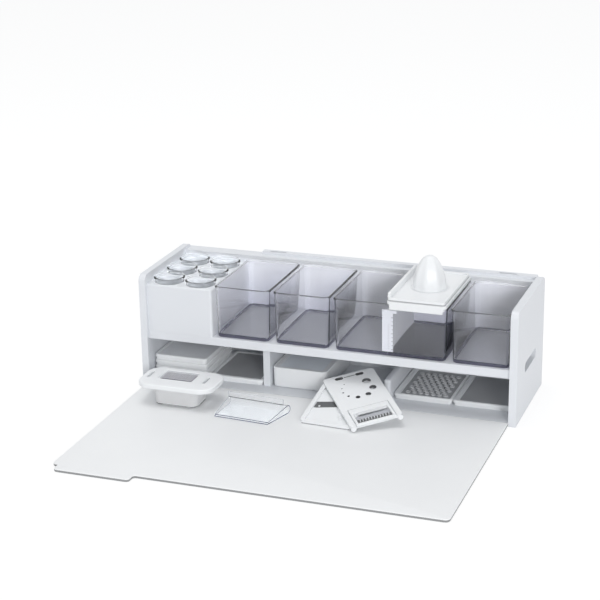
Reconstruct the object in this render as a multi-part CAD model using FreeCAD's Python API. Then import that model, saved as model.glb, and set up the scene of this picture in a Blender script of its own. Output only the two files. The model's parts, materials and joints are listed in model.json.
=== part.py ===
import FreeCAD, Part
import math
import os

# A counter-top preparation station: a housing with an upper deck of clear bins and cups, a lower
# deck of insert trays, and a cutting board that is hinged at the front and folds up as its cover.
# Frame: +X to the right, +Y to the back, +Z up, origin at the centre of the housing's underside.
# All lengths are in millimetres and all angles in degrees.

os.makedirs("parts", exist_ok=True)
V = FreeCAD.Vector

# ---- running clearances -------------------------------------------------------------------------
FIT = 0.2            # between two pieces that seat in each other
SLIDE = 0.3          # under and beside a piece that slides or turns
SIDE_GAP = 0.6       # between the board and each end panel
LID_GAP = 1.5        # between the closed board's edge and the raised lip behind it

# ---- bins of the upper deck ---------------------------------------------------------------------
BIN_W = 98.0
WIDE_BIN_W = 190.0
BIN_D = 160.0
BIN_H = 88.0
BIN_WALL = 2.0
BIN_FLOOR = 2.5
BIN_R = 12.0         # corner radius, seen from above
BIN_TAPER = 2.0      # how much narrower each side is at the foot
BIN_RIM = 1.5        # how far the rim stands out
BIN_RIM_H = 3.0
BIN_GAP = 4.5        # between neighbouring bins
BIN_INSET = 2.0      # in front of and behind the bins

# ---- cups and the block that holds them ---------------------------------------------------------
CUP_TAPER = 2.1      # how much smaller the foot's radius is
CUP_WALL = 1.5
CUP_FLOOR = 2.0
CUP_H = 81.0
CUP_RIM = 1.4        # how far the rim stands out
CUP_RIM_H = 3.0
CUP_RIM_EDGE_R = 1.2
CUP_PITCH_X = 56.5
CUP_COLUMNS = 2
CUP_ROWS = 3
CUP_BETWEEN = 1.4    # between the rims of two rows
CUP_MARGIN = 1.8     # in front of the first row and behind the last one
CUP_PROUD = 2.0      # cup's top above the bins' tops
WELL_GAP = 0.6       # between a cup and its well
WELL_WALL = 1.2
BLOCK_W = 115.0
BLOCK_H = 82.0
BLOCK_WALL = 3.0
BLOCK_EDGE_R = 3.0   # rounded top edges, at the front and right
BLOCK_SIDE_R = 4.0   # rounded upright edge between them
BLOCK_TOP_T = 9.0    # solid plate between the wells
BLOCK_GAP = 2.5      # between the block and the first bin
END_GAP = 1.0        # between the last bin and the right end panel

# ---- insert trays of the lower deck -------------------------------------------------------------
FRAME_W = 95.0
FRAME_BACK = 5.0     # behind the frame that stands deepest
RIGHT_FRAME_W = 98.0  # the two frames of the right bay
FRAME_H = 9.8
FRAME_R = 6.0
FRAME_RIM = 6.5
BROAD_RIM = 10.5     # left rim of the two frames of the right bay
NARROW_RIM = 4.5     # their other rims
FRAME_LEDGE = 3.0    # the step that the plate rests on
PLATE_T = 2.0
PLATE_SUNK = 1.0     # plate below the frame's top
BAY_GAP = 1.2        # beside the frames of the left bay
RIGHT_GAP = 1.5      # beside the right divider
RIGHT_SPARE = 4.2    # beside the right end panel
RIGHT_BETWEEN = 0.8
STACK_COUNT = 4
STACK_INSET = 20.0   # front of the stack behind the housing's front
LOW_INSET = 31.0
RIGHT_INSET = 45.0
FIELD_MARGIN = 1.5   # plain edge round a plate's holes
SLOT_W = 3.0
SLOT_PITCH = 9.0
COARSE_R = 3.2
COARSE_PITCH = 10.5
MOUTH_AT = 0.45      # blade mouth's place in its plate, as a share of the depth
INSERT_MOUTH = 7.0

# ---- deep box -----------------------------------------------------------------------------------
DEEP_W = 95.0
DEEP_BACK = 4.5      # behind it
DEEP_H = 34.8
DEEP_R = 9.0
DEEP_WALL = 2.5
DEEP_FLOOR = 2.0
DEEP_LID_T = 2.0
DEEP_LID_SUNK = 1.5
DEEP_LID_RIM = 8.0   # raised edge of the lid
DEEP_LID_DIP = 0.7   # sunk middle
DEEP_LID_R = 3.0
DEEP_INSET = 35.5
DEEP_SIDE = 2.4      # from the left divider

# ---- housing ------------------------------------------------------------------------------------
END_T = 12.0
END_R = 12.0         # rounded top corners, seen from the side
EDGE_R = 1.2         # small rounding of outer edges
FLOOR_T = 5.0
LOWER_H = 73.0       # clear height of the lower deck
FLANGE_H = 14.0      # front flange of the shelf
FLANGE_T = 4.0
SHELF_T = 6.0
WALL_T = 25.0        # rear wall over both skins
SKIN = 3.0
WEB_T = 10.0
LIP_T = 12.0
TAB_RECESS_W = 138.0
TOP_SLOT_L = 29.0
TOP_SLOT_W = 4.8
TOP_SLOT_LEFT = 152.0    # slot's left end, in from the left inner face
TOP_SLOT_RIGHT = 34.0    # slot's right end, in from the right inner face
TOP_SLOT_BACK = 8.0      # slot's centre, in from the rear face
DIVIDER_T = 12.0
DIVIDER_INSET = 33.0
LOW_DIVIDER_H = 36.0
LOW_DIVIDER_R = 5.0  # its rounded upright front edges
LOW_DIVIDER_TOP_R = 4.0
GRIP_L = 80.0
GRIP_H = 16.0
GRIP_Z = 78.0        # hand slot's centre, which is in the middle of the depth
GRIP_CLEAR = 3.0     # between the hand slot and the ledge under the shelf
TONGUE_L = 10.0      # end panel's tongue inside the rear wall
TONGUE_Z0 = 20.0
TONGUE_Z1 = 170.0
TONGUE_SCREW_IN = 30.0   # wall screws, in from the tongue's ends
WEBS_APART = 202.67
LEDGE_W = 4.0
LEDGE_H = 3.0
LEDGE_FRONT = 2.0    # ledge's start behind the shelf's flange
LEDGE_BACK = 5.0     # ledge's end in front of the rear wall
SHELF_TAB_W = 30.0
SHELF_TAB_UNDER = 1.0    # shelf's tab above the shelf's lower face
SHELF_TAB_OVER = 2.0     # shelf's tab below the shelf's upper face
FOOT_R = 8.0
FOOT_T = 2.0
FOOT_INSET = 24.0
SCREW_R = 1.5
SCREW_L = 12.0
HEAD_R = 3.2
HEAD_T = 2.0

# ---- board --------------------------------------------------------------------------------------
BOARD_T = 5.0
BOARD_GAP = 1.0      # between the closed board and the shelf
LID_CLEAR = 5.0      # above the bins
SLAT = 5.0           # pitch of the fold lines
FOLDS = 3
SLAT_GAP = 0.2
BOARD_R = 14.0       # free corners
TAB_W = 124.0
TAB_INSET = 11.0     # tab's outer end, in from the inner face
TAB_OUT = 17.0
TAB_R = 8.0
PIN_R = 1.2
PIN_GAP = 0.06
PIN_IN_PANEL = 6.0
PIN_IN_BOARD = 12.0

# ---- juicer -------------------------------------------------------------------------------------
JUICER_W = 97.0
JUICER_R = 5.0
JUICER_WALL = 2.5
JUICER_FLANGE_H = 4.6
JUICER_PLUG_H = 6.0
JUICER_TOP_H = 5.4
JUICER_FENCE_H = 7.0
JUICER_FENCE_T = 5.0
STRAINER_IN = 3.0    # strainer tray's front and right edges, in from the base tray's
BASIN_SPARE = 1.0    # beside the basin's right wall
SKIRT_H = 8.0        # base tray's lip over the front of the bin's rim
SKIRT_T = 1.2
CONE_R = 27.6
CONE_H = 54.0
CONE_TIP_R = 2.0
CONE_FLANGE_R = 28.6
CONE_FLANGE_H = 1.2
CONE_FULLNESS = 0.6  # 0.5 would be an ellipse, and more is slimmer near the tip
CONE_SHARES = (0, 0.15, 0.3, 0.45, 0.6, 0.72, 0.82, 0.9, 0.96, 1)
CONE_FLUTES = 8
FLUTE_DEEP = 1.6
FLUTE_POINTS = 6     # points of a section in each flute
DRAIN_COUNT = 28     # drain holes in a ring round the cone's flange
DRAIN_OUT = 2.0
DRAIN_R = 1.1

# ---- bin divider --------------------------------------------------------------------------------
PARTITION_T = 2.0
PARTITION_H = 74.0
PARTITION_AT = 91.0  # partition behind the scale strip, from the wide bin's left side
SCALE_W = 18.0
SCALE_T = 2.0
SCALE_H = 70.0
SCALE_UP = 4.0       # scale strip's foot above the partition's
SCALE_CAP_W = 24.0   # cap on the strip's top, which reaches out to the right
SCALE_CAP_T = 2.4
SCALE_CAP_H = 5.0

# ---- tools that lie on the board ----------------------------------------------------------------
GRATER_W = 132.0
GRATER_D = 79.0
GRATER_H = 8.0
GRATER_R = 24.0
GRATER_EDGE_R = 2.2
GRATER_X = -220.0
GRATER_Y = -65.5     # centre, behind the housing's front
GRATER_CUP_W = 80.0
GRATER_CUP_D = 56.0
GRATER_CUP_H = 29.8
GRATER_CUP_R = 14.0
GRATER_CUP_WALL = 1.8
GRATER_CUP_TAPER = 3.0
GRATER_CUP_SHIFT = -3.5
RASP_W = 60.0
RASP_D = 38.0
RASP_R = 5.0
RASP_T = 0.8
RASP_SUNK = 1.5      # seat below the grater's top
RASP_LEDGE = 3.0
RASP_SHIFT_X = -6.5
RASP_SHIFT = 8.0
GRATER_SLOT_L = 28.0
GRATER_SLOT_W = 5.0
GRATER_SLOT_OUT = 49.0
GRATER_SLOT_LEFT = -6.0  # both hanging slots' shift to the left
GRATER_SLOT_BACK = 3.5

STAND_X = -143.0     # front left corner
STAND_Y = -112.5
STAND_YAW = -4.0
STAND_W = 106.0       # at its rear
STAND_FRONT_W = 93.0
STAND_LIP_W = 97.0
STAND_L = 60.0
STAND_T = 1.4
STAND_BEND_R = 6.5   # middle of the sheet at the rear bend
STAND_OPEN = 0.4     # between the two leaves at the front
STAND_SHORT = 2.0    # how much shorter the upper leaf is
STAND_LIP = 9.0
STAND_LIP_BACK = 0.5 # lip's back behind the bend's axis

SLICER_X = -4.5      # lower front left corner
SLICER_Y = -95.2
SLICER_YAW = -3.0
SLICER_PITCH = 12.8
SLICER_W = 86.0
SLICER_L = 134.0
SLICER_H = 6.0
SLICER_DECK = 3.0    # thickness between the rails
SLICER_RAIL = 7.0
SLICER_R = 5.0
DECK_FRONT = 4.0     # sunk deck behind the front edge
DECK_BACK = 34.0     # sunk deck in front of the rear end
DECK_R = 3.0
TAIL_OUT = 4.0       # rear end's round, beyond a full half circle
TAIL_SIDE = 10.0     # straight sides beside it
HANG_L = 30.0
HANG_W = 7.0
HANG_BACK = 12.0     # hanging slot's middle, in from the rear end
BASE_BLADE_Y = 41.0
BASE_BLADE_L = 16.0
BASE_BLADE_SLANT = 18.0
BASE_BLADE_SIDE = 0.5    # between the blade and each rail
BASE_MOUTH_SHIFT = 3.0   # mouth under the blade, towards the front
BASE_MOUTH_IN = 3.0
LEG_BACK = 88.0      # leg's place along the lower slicer
LEG_T = 4.0
LEG_INSET = 8.0
LEG_POST = 9.0
LEG_BAR = 6.0
BLADE_T = 0.8
TOP_AT_X = 89.5      # upper slicer's front left corner, on the lower one
TOP_AT_Y = -7.0
TOP_TURN = 39.0
TOP_L = 145.0
TOP_T = 5.0
TOP_GAP = 0.3
HOLE_RADII = (0.9, 1.1, 1.5, 2.1, 3.8, 4.6, 5.8, 7.2)
HOLE_RING_R = 25.0
HOLE_RING_X = 44.0
HOLE_RING_Y = 98.0
HOLE_START = 130.0   # direction of the smallest hole from the ring's middle
HOLE_BETWEEN = 10.0  # along the ring, between the edges of two holes
TOP_SLOTS_APART = 35.0   # two hanging slots near the upper slicer's rear end
TOP_SLOTS_L = 14.0
TOP_SLOTS_W = 7.5
TOP_SLOTS_BACK = 8.5
MOUTH_W = 68.4       # recess between the arms, open at the front
MOUTH_L = 46.2
MOUTH_DEEP = 3.0
HOLDER_GAP = 1.6     # between the blade holder and the recess's walls
HOLDER_FRONT = 0.5   # holder behind the slicer's front edge
HOLDER_UP = 0.6      # holder above the slicer's face
HOLDER_SIDE = 4.0    # width of the holder's sides
HOLDER_BACK = 11.0   # width of its rear bar
HOLDER_BAR = 4.0     # width of its front bar
SLIT_Y = 25.0        # the slit that food falls through
SLIT_L = 8.0
TEETH_Y = 6.0
TEETH_L = 10.0
TOOTH_COUNT = 11
TOOTH_W = 1.0
TOOTH_L = 3.0
TOOTH_UP = 1.0       # teeth above the upper slicer's face
FLAT_Y = 16.5
FLAT_L = 8.0
BOSS_R = 4.2         # rounded ends of the arms
BOSS_OUT = 2.5
BOSS_L = 6.5

# ---- what follows from the sizes above ----------------------------------------------------------
INNER_L = (BLOCK_W + BLOCK_GAP + 3 * BIN_W + WIDE_BIN_W + 3 * BIN_GAP + END_GAP)
LENGTH = INNER_L + 2 * END_T
DEPTH = BOARD_T + BOARD_GAP + 2 * BIN_INSET + BIN_D + WALL_T
SHELF_UNDER = FLOOR_T + LOWER_H
SHELF_TOP = SHELF_UNDER + FLANGE_H
BIN_TOP = SHELF_TOP + BIN_H
HEIGHT = BIN_TOP + LID_CLEAR + BOARD_T
LEFT = -INNER_L / 2
RIGHT = INNER_L / 2
FRONT = -DEPTH / 2
BACK = DEPTH / 2
WALL_FRONT = BACK - WALL_T
SHELF_FRONT = FRONT + BOARD_T + BOARD_GAP
BIN_FRONT = SHELF_FRONT + BIN_INSET
LOWER_D = WALL_FRONT - FRONT
FRAME_D = LOWER_D - max(STACK_INSET, LOW_INSET, RIGHT_INSET) - FRAME_BACK
DEEP_D = LOWER_D - DEEP_INSET - DEEP_BACK
LEDGE_TOP = HEIGHT - BOARD_T - SLIDE
HINGE_Y = FRONT + BOARD_T / 2
HINGE_Z = BOARD_T / 2
FOLD_STEP = 90.0 / FOLDS
DECK = FLOOR_T + FIT
ON_BOARD = BOARD_T + FIT

LEFT_DIVIDER_X = LEFT + 2 * FRAME_W + 3 * BAY_GAP
RIGHT_BAY = 2 * RIGHT_FRAME_W + RIGHT_GAP + RIGHT_BETWEEN + RIGHT_SPARE
RIGHT_DIVIDER_X = RIGHT - RIGHT_BAY - DIVIDER_T

BIN_4_X = RIGHT - END_GAP - BIN_W
WIDE_BIN_X = BIN_4_X - BIN_GAP - WIDE_BIN_W
BIN_2_X = WIDE_BIN_X - BIN_GAP - BIN_W
BIN_1_X = BIN_2_X - BIN_GAP - BIN_W

BLOCK_BACK = WALL_FRONT - FIT
CUP_PITCH_Y = (BLOCK_BACK - SHELF_FRONT - 2 * CUP_MARGIN) / CUP_ROWS
CUP_RIM_R = (CUP_PITCH_Y - CUP_BETWEEN) / 2
CUP_R = CUP_RIM_R - CUP_RIM
CUP_FOOT_R = CUP_R - CUP_TAPER
CUP_Z = BIN_TOP + CUP_PROUD - CUP_H
WELL_R = CUP_R + WELL_GAP

JUICER_X1 = WIDE_BIN_X + WIDE_BIN_W - BIN_RIM
JUICER_X0 = JUICER_X1 - JUICER_W
JUICER_Z = BIN_TOP + FIT
JUICER_TOP_Z = JUICER_Z + JUICER_FLANGE_H + FIT
SCALE_X = WIDE_BIN_X + PARTITION_AT + (PARTITION_T - SCALE_W) / 2
CONE_X = (JUICER_X0 + JUICER_X1) / 2
CONE_Y = BIN_FRONT + BIN_D / 2
GRATER_Z = ON_BOARD + GRATER_CUP_H + SLIDE


def fold_rise():
    """Height that the tilted slats add between the upright and the level part of the board."""
    turns = [math.radians(FOLD_STEP * i) for i in range(1, FOLDS)]
    return SLAT * sum(math.cos(t) for t in turns)


def fold_run():
    """Depth that the tilted slats add between the upright and the level part of the board."""
    turns = [math.radians(FOLD_STEP * i) for i in range(1, FOLDS)]
    return SLAT * sum(math.sin(t) for t in turns)


FIRST_FOLD = HEIGHT - BOARD_T - HINGE_Z - fold_rise()
LAST_FOLD = FIRST_FOLD + SLAT * (FOLDS - 1)
LID_REACH = DEPTH - LIP_T - LID_GAP - BOARD_T - fold_run()
BOARD_END = LAST_FOLD + LID_REACH


# ---- small shape helpers ------------------------------------------------------------------------
def box(x0, x1, y0, y1, z0, z1):
    return Part.makeBox(x1 - x0, y1 - y0, z1 - z0, V(x0, y0, z0))


def upright_edges(shape):
    found = []
    for edge in shape.Edges:
        if len(edge.Vertexes) == 2:
            a, b = edge.Vertexes[0].Point, edge.Vertexes[1].Point
            if math.hypot(a.x - b.x, a.y - b.y) < 1e-6:
                found.append(edge)
    return found


def rounded(x0, x1, y0, y1, z0, z1, radius):
    """A block with its four upright edges rounded."""
    solid = box(x0, x1, y0, y1, z0, z1)
    limit = min(x1 - x0, y1 - y0) / 2 - 0.01
    return solid.makeFillet(min(radius, limit), upright_edges(solid))


def outline(x0, x1, y0, y1, z, radius):
    """A level rounded rectangle as a wire."""
    r = min(radius, (x1 - x0) / 2 - 0.01, (y1 - y0) / 2 - 0.01)
    edges = []
    centres = [(x1 - r, y0 + r), (x1 - r, y1 - r), (x0 + r, y1 - r), (x0 + r, y0 + r)]
    last = V(x0 + r, y0, z)
    for i, (cx, cy) in enumerate(centres):
        angles = [math.radians(a) for a in (-90 + 90 * i, -45 + 90 * i, 90 * i)]
        a, b, c = [V(cx + r * math.cos(t), cy + r * math.sin(t), z) for t in angles]
        if last.distanceToPoint(a) > 1e-6:
            edges.append(Part.makeLine(last, a))
        edges.append(Part.Arc(a, b, c).toShape())
        last = c
    return Part.Wire(edges)


def tapered(x0, x1, y0, y1, z0, z1, radius, taper):
    """A rounded block whose foot is narrower than its top by the taper on each side."""
    foot = outline(x0 + taper, x1 - taper, y0 + taper, y1 - taper, z0, radius - taper / 2)
    top = outline(x0, x1, y0, y1, z1, radius)
    return Part.makeLoft([foot, top], True, True)


def rod(radius, length, at, direction):
    return Part.makeCylinder(radius, length, at, direction)


def slot(length, width, depth, at):
    """An upright prism with two round ends, its long side along Y and its foot's centre at `at`."""
    half = length / 2 - width / 2
    middle = box(at.x - width / 2, at.x + width / 2, at.y - half, at.y + half, at.z, at.z + depth)
    ends = [rod(width / 2, depth, V(at.x, at.y + s * half, at.z), V(0, 0, 1)) for s in (-1, 1)]
    return middle.fuse(ends).removeSplitter()


def prism(points, direction):
    """Extrudes a closed outline of straight sides."""
    return Part.Face(Part.makePolygon(points + [points[0]])).extrude(direction)


def save(name, *solids):
    shape = solids[0] if len(solids) == 1 else Part.makeCompound(list(solids))
    shape.exportStep("parts/%s.step" % name)
    bounds = shape.optimalBoundingBox()
    print("%-18s solids %d valid %s  x %.1f..%.1f  y %.1f..%.1f  z %.1f..%.1f" % (
        name, len(shape.Solids), shape.isValid(), bounds.XMin, bounds.XMax,
        bounds.YMin, bounds.YMax, bounds.ZMin, bounds.ZMax))


# ---- housing ------------------------------------------------------------------------------------
def wall_screw_places():
    """Where the screws enter the rear wall's back skin, through into the end panels' tongues."""
    side = RIGHT - TONGUE_L / 2
    heights = (TONGUE_Z0 + TONGUE_SCREW_IN, TONGUE_Z1 - TONGUE_SCREW_IN)
    return [(s * side, z) for s in (-1, 1) for z in heights]


def web_places():
    """The rear wall's inner webs, which also take the floor screws."""
    return [s * WEBS_APART for s in (-1, 0, 1)]


def end_panel(side):
    """The left (-1) or right (+1) end panel, with its hand slot, tongue and shelf ledge."""
    inner = side * RIGHT
    outer = side * LENGTH / 2
    x0, x1 = min(inner, outer), max(inner, outer)
    panel = box(x0, x1, FRONT, BACK, 0, HEIGHT)
    tops = []
    for edge in panel.Edges:
        a, b = edge.Vertexes[0].Point, edge.Vertexes[1].Point
        if abs(a.x - b.x) > 1e-6 and a.z > HEIGHT - 1e-6:
            tops.append(edge)
    panel = panel.makeFillet(END_R, tops)
    flat = [e for e in panel.Edges if e.BoundBox.XLength < 1e-6 and e.BoundBox.ZMax > 1e-3]
    panel = panel.makeFillet(EDGE_R, [e for e in flat if abs(e.BoundBox.XMin - outer) < 1e-6])
    half = GRIP_L / 2 - GRIP_H / 2
    middle = (FRONT + BACK) / 2
    grip = box(x0 - 1, x1 + 1, middle - half, middle + half, GRIP_Z - GRIP_H / 2, GRIP_Z + GRIP_H / 2)
    for s in (-1, 1):
        end = V(x0 - 1, middle + s * half, GRIP_Z)
        grip = grip.fuse(rod(GRIP_H / 2, END_T + 2, end, V(1, 0, 0)))
    panel = panel.cut(grip)
    inward = -side
    t0, t1 = sorted((inner, inner + inward * TONGUE_L))
    tongue = box(t0, t1, WALL_FRONT + SKIN + FIT, BACK - SKIN - FIT, TONGUE_Z0, TONGUE_Z1)
    l0, l1 = sorted((inner, inner + inward * LEDGE_W))
    under = SHELF_TOP - SHELF_T
    clear = GRIP_L / 2 + GRIP_CLEAR
    start, stop = SHELF_FRONT + FLANGE_T + LEDGE_FRONT, WALL_FRONT - LEDGE_BACK
    spans = ((start, middle - clear), (middle + clear, stop))
    ledges = [box(l0, l1, y0, y1, under - LEDGE_H, under) for y0, y1 in spans]
    panel = panel.fuse([tongue] + ledges).removeSplitter()
    for x, z in wall_screw_places():
        if x * side > 0:
            panel = panel.cut(rod(SCREW_R, SCREW_L, V(x, BACK - HEAD_T, z), V(0, -1, 0)))
    pin = rod(PIN_R, PIN_IN_PANEL, V(inner, HINGE_Y, HINGE_Z), V(side, 0, 0))
    return panel.cut(pin)


def feet_places():
    x = RIGHT - FOOT_INSET
    return [(s * x, y) for s in (-1, 1) for y in (FRONT + FOOT_INSET, WALL_FRONT - FOOT_INSET / 2)]


def floor_panel():
    panel = box(LEFT, RIGHT, FRONT + BOARD_T + SLIDE, WALL_FRONT + SKIN, 0, FLOOR_T)
    panel = panel.fuse(box(LEFT, RIGHT, WALL_FRONT + SKIN, BACK - SKIN, 0, FLOOR_T)).removeSplitter()
    for x, y in feet_places():
        panel = panel.cut(rod(FOOT_R, FOOT_T, V(x, y, 0), V(0, 0, 1)))
    for x in web_places():
        at = V(x, BACK - WALL_T / 2, 0)
        panel = panel.cut(rod(HEAD_R, HEAD_T, at, V(0, 0, 1)))
        panel = panel.cut(rod(SCREW_R, FLOOR_T, at, V(0, 0, 1)))
    return panel


def rear_wall():
    """A hollow wall open below, with a ledge that the closed board rests on and a raised lip."""
    wall = box(LEFT, RIGHT, WALL_FRONT, BACK, 0, LEDGE_TOP)
    lip_x = LEFT + TAB_RECESS_W
    lip = box(lip_x, RIGHT, BACK - LIP_T, BACK, LEDGE_TOP, HEIGHT)
    wall = wall.fuse(lip).removeSplitter()
    hollow = box(LEFT, RIGHT, WALL_FRONT + SKIN, BACK - SKIN, 0, LEDGE_TOP - SKIN)
    for x in web_places():
        web = box(x - WEB_T / 2, x + WEB_T / 2, WALL_FRONT, BACK, FLOOR_T, HEIGHT)
        hollow = hollow.cut(web)
    wall = wall.cut(hollow)
    wall = wall.cut(box(LEFT, RIGHT, WALL_FRONT, WALL_FRONT + SKIN, 0, FLOOR_T))
    for x in (LEFT + TOP_SLOT_LEFT + TOP_SLOT_L / 2, RIGHT - TOP_SLOT_RIGHT - TOP_SLOT_L / 2):
        y = BACK - TOP_SLOT_BACK
        cut = box(x - TOP_SLOT_L / 2, x + TOP_SLOT_L / 2, y - TOP_SLOT_W / 2, y + TOP_SLOT_W / 2,
                  LEDGE_TOP - SKIN, HEIGHT)
        wall = wall.cut(cut)
    for x, z in wall_screw_places():
        wall = wall.cut(rod(HEAD_R, HEAD_T, V(x, BACK, z), V(0, -1, 0)))
        wall = wall.cut(rod(SCREW_R, SKIN, V(x, BACK, z), V(0, -1, 0)))
    for x in web_places():
        at = V(x, BACK - WALL_T / 2, FLOOR_T)
        wall = wall.cut(rod(SCREW_R, SCREW_L + HEAD_T - FLOOR_T, at, V(0, 0, 1)))
        tab = SHELF_TAB_W / 2 + FIT
        wall = wall.cut(box(x - tab, x + tab, WALL_FRONT, WALL_FRONT + SKIN,
                            SHELF_TOP - SHELF_T + SHELF_TAB_UNDER - FIT, SHELF_TOP - SHELF_TAB_OVER + FIT))
    return wall


def shelf():
    """The deck that the bins and the cup block stand on, with a front flange and rear tabs."""
    deck = box(LEFT, RIGHT, SHELF_FRONT, WALL_FRONT, SHELF_TOP - SHELF_T, SHELF_TOP)
    flange = box(LEFT, RIGHT, SHELF_FRONT, SHELF_FRONT + FLANGE_T, SHELF_UNDER, SHELF_TOP)
    deck = deck.fuse(flange)
    for x in web_places():
        deck = deck.fuse(box(x - SHELF_TAB_W / 2, x + SHELF_TAB_W / 2, WALL_FRONT, WALL_FRONT + SKIN,
                             SHELF_TOP - SHELF_T + SHELF_TAB_UNDER, SHELF_TOP - SHELF_TAB_OVER))
    return deck.removeSplitter()


def low_divider():
    """The low divider on the right, with its front and top edges well rounded."""
    x1, y0, top = RIGHT_DIVIDER_X + DIVIDER_T, FRONT + DIVIDER_INSET, FLOOR_T + LOW_DIVIDER_H
    rib = box(RIGHT_DIVIDER_X, x1, y0, WALL_FRONT, FLOOR_T, top)
    rib = rib.makeFillet(LOW_DIVIDER_R, [e for e in upright_edges(rib) if e.BoundBox.YMax < WALL_FRONT - 1])
    crest = [e for e in rib.Edges if e.BoundBox.ZMin > top - 1e-3 and e.BoundBox.YMin < WALL_FRONT - 1]
    return rib.makeFillet(LOW_DIVIDER_TOP_R, crest)


def screw(at, direction):
    head = rod(HEAD_R, HEAD_T, at, direction)
    return head.fuse(rod(SCREW_R, SCREW_L, at, direction)).removeSplitter()


def housing_screws():
    screws = [screw(V(x, BACK, z), V(0, -1, 0)) for x, z in wall_screw_places()]
    screws += [screw(V(x, BACK - WALL_T / 2, 0), V(0, 0, 1)) for x in web_places()]
    return screws


def cup_places():
    """The middle of each cup, front row first, as x and y."""
    x0 = LEFT + BLOCK_W / 2 - CUP_PITCH_X * (CUP_COLUMNS - 1) / 2
    y0 = SHELF_FRONT + CUP_MARGIN + CUP_PITCH_Y / 2
    return [(x0 + CUP_PITCH_X * i, y0 + CUP_PITCH_Y * j)
            for j in range(CUP_ROWS) for i in range(CUP_COLUMNS)]


def cup_block():
    """A shell, open below, with one round well for each cup."""
    x0, x1 = LEFT, LEFT + BLOCK_W
    y0, y1 = SHELF_FRONT, BLOCK_BACK
    top = SHELF_TOP + BLOCK_H
    block = box(x0, x1, y0, y1, SHELF_TOP, top)
    corner = [e for e in upright_edges(block) if e.BoundBox.XMin > x1 - 1e-3 and e.BoundBox.YMax < y0 + 1e-3]
    block = block.makeFillet(BLOCK_SIDE_R, corner)
    rims = [e for e in block.Edges if e.BoundBox.ZMin > top - 1e-3]
    seen = [e for e in rims if e.BoundBox.YMin < y0 + 1e-3 or e.BoundBox.XMax > x1 - 1e-3]
    seen = [e for e in seen if e.BoundBox.YMin < y1 - 1 and e.BoundBox.XMax > x0 + 1]
    block = block.makeFillet(BLOCK_EDGE_R, seen)
    hollow = box(x0 + BLOCK_WALL, x1 - BLOCK_WALL, y0 + BLOCK_WALL, y1 - BLOCK_WALL,
                 SHELF_TOP, top - BLOCK_TOP_T)
    foot = CUP_Z - FIT
    deep = top - BLOCK_TOP_T / 2 - (foot - WELL_WALL)
    tubes = [rod(WELL_R + WELL_WALL, deep, V(x, y, foot - WELL_WALL), V(0, 0, 1)) for x, y in cup_places()]
    hollow = hollow.cut(tubes)
    block = block.cut(hollow)
    for x, y in cup_places():
        block = block.cut(rod(WELL_R, top - foot + 1, V(x, y, foot), V(0, 0, 1)))
    return block


def cup(x, y):
    top = CUP_Z + CUP_H
    outer = Part.makeCone(CUP_FOOT_R, CUP_R, CUP_H, V(x, y, CUP_Z))
    rim = rod(CUP_RIM_R, CUP_RIM_H, V(x, y, top - CUP_RIM_H), V(0, 0, 1))
    edges = [e for e in rim.Edges if e.Curve.TypeId == "Part::GeomCircle"]
    rim = rim.makeFillet(CUP_RIM_EDGE_R, edges)
    inner = Part.makeCone(CUP_FOOT_R - CUP_WALL, CUP_R - CUP_WALL, CUP_H, V(x, y, CUP_Z + CUP_FLOOR))
    return outer.fuse(rim).cut(inner)


# ---- board --------------------------------------------------------------------------------------
def board_y(along):
    """Where a distance from the hinge falls when the board lies open."""
    return HINGE_Y - along


def board_front():
    half = RIGHT - SIDE_GAP
    plate = box(-half, half, board_y(FIRST_FOLD - SLAT_GAP / 2), HINGE_Y, 0, BOARD_T)
    knuckle = rod(BOARD_T / 2, 2 * half, V(-half, HINGE_Y, HINGE_Z), V(1, 0, 0))
    board = plate.fuse(knuckle).removeSplitter()
    for side in (-1, 1):
        at = V(side * half, HINGE_Y, HINGE_Z)
        bore = rod(PIN_R + PIN_GAP, PIN_IN_BOARD + 1, at, V(-side, 0, 0))
        board = board.cut(bore)
    return board


def fold_slat(index):
    half = RIGHT - SIDE_GAP
    start = FIRST_FOLD + SLAT * (index - 1)
    return box(-half, half, board_y(start + SLAT - SLAT_GAP / 2), board_y(start + SLAT_GAP / 2), 0, BOARD_T)


def board_top():
    """The part that becomes the lid, with its finger tab on the left."""
    half = RIGHT - SIDE_GAP
    end = board_y(BOARD_END)
    plate = box(-half, half, end, board_y(LAST_FOLD + SLAT_GAP / 2), 0, BOARD_T)
    corners = [e for e in upright_edges(plate) if e.BoundBox.YMax < end + 1e-3]
    plate = plate.makeFillet(BOARD_R, corners)
    x0 = LEFT + TAB_INSET
    tab = box(x0, x0 + TAB_W, end - TAB_OUT, end + BOARD_R, 0, BOARD_T)
    tips = [e for e in upright_edges(tab) if e.BoundBox.YMax < end]
    tab = tab.makeFillet(TAB_R, tips)
    return plate.fuse(tab).removeSplitter()


def hinge_pins():
    length = PIN_IN_PANEL + SIDE_GAP + PIN_IN_BOARD
    return [rod(PIN_R, length, V(s * (RIGHT + PIN_IN_PANEL), HINGE_Y, HINGE_Z), V(-s, 0, 0))
            for s in (-1, 1)]


# ---- bins and what is in them -------------------------------------------------------------------
def clear_bin(x0, width):
    x1 = x0 + width
    y0, y1 = BIN_FRONT, BIN_FRONT + BIN_D
    r = BIN_R - BIN_RIM
    w = BIN_RIM
    shell = tapered(x0 + w, x1 - w, y0 + w, y1 - w, SHELF_TOP, BIN_TOP, r, BIN_TAPER)
    rim = rounded(x0, x1, y0, y1, BIN_TOP - BIN_RIM_H, BIN_TOP, BIN_R)
    w = BIN_RIM + BIN_WALL
    foot = SHELF_TOP + BIN_FLOOR
    inner = tapered(x0 + w, x1 - w, y0 + w, y1 - w, foot, BIN_TOP, r - BIN_WALL, BIN_TAPER)
    return shell.fuse(rim).cut(inner)


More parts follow.
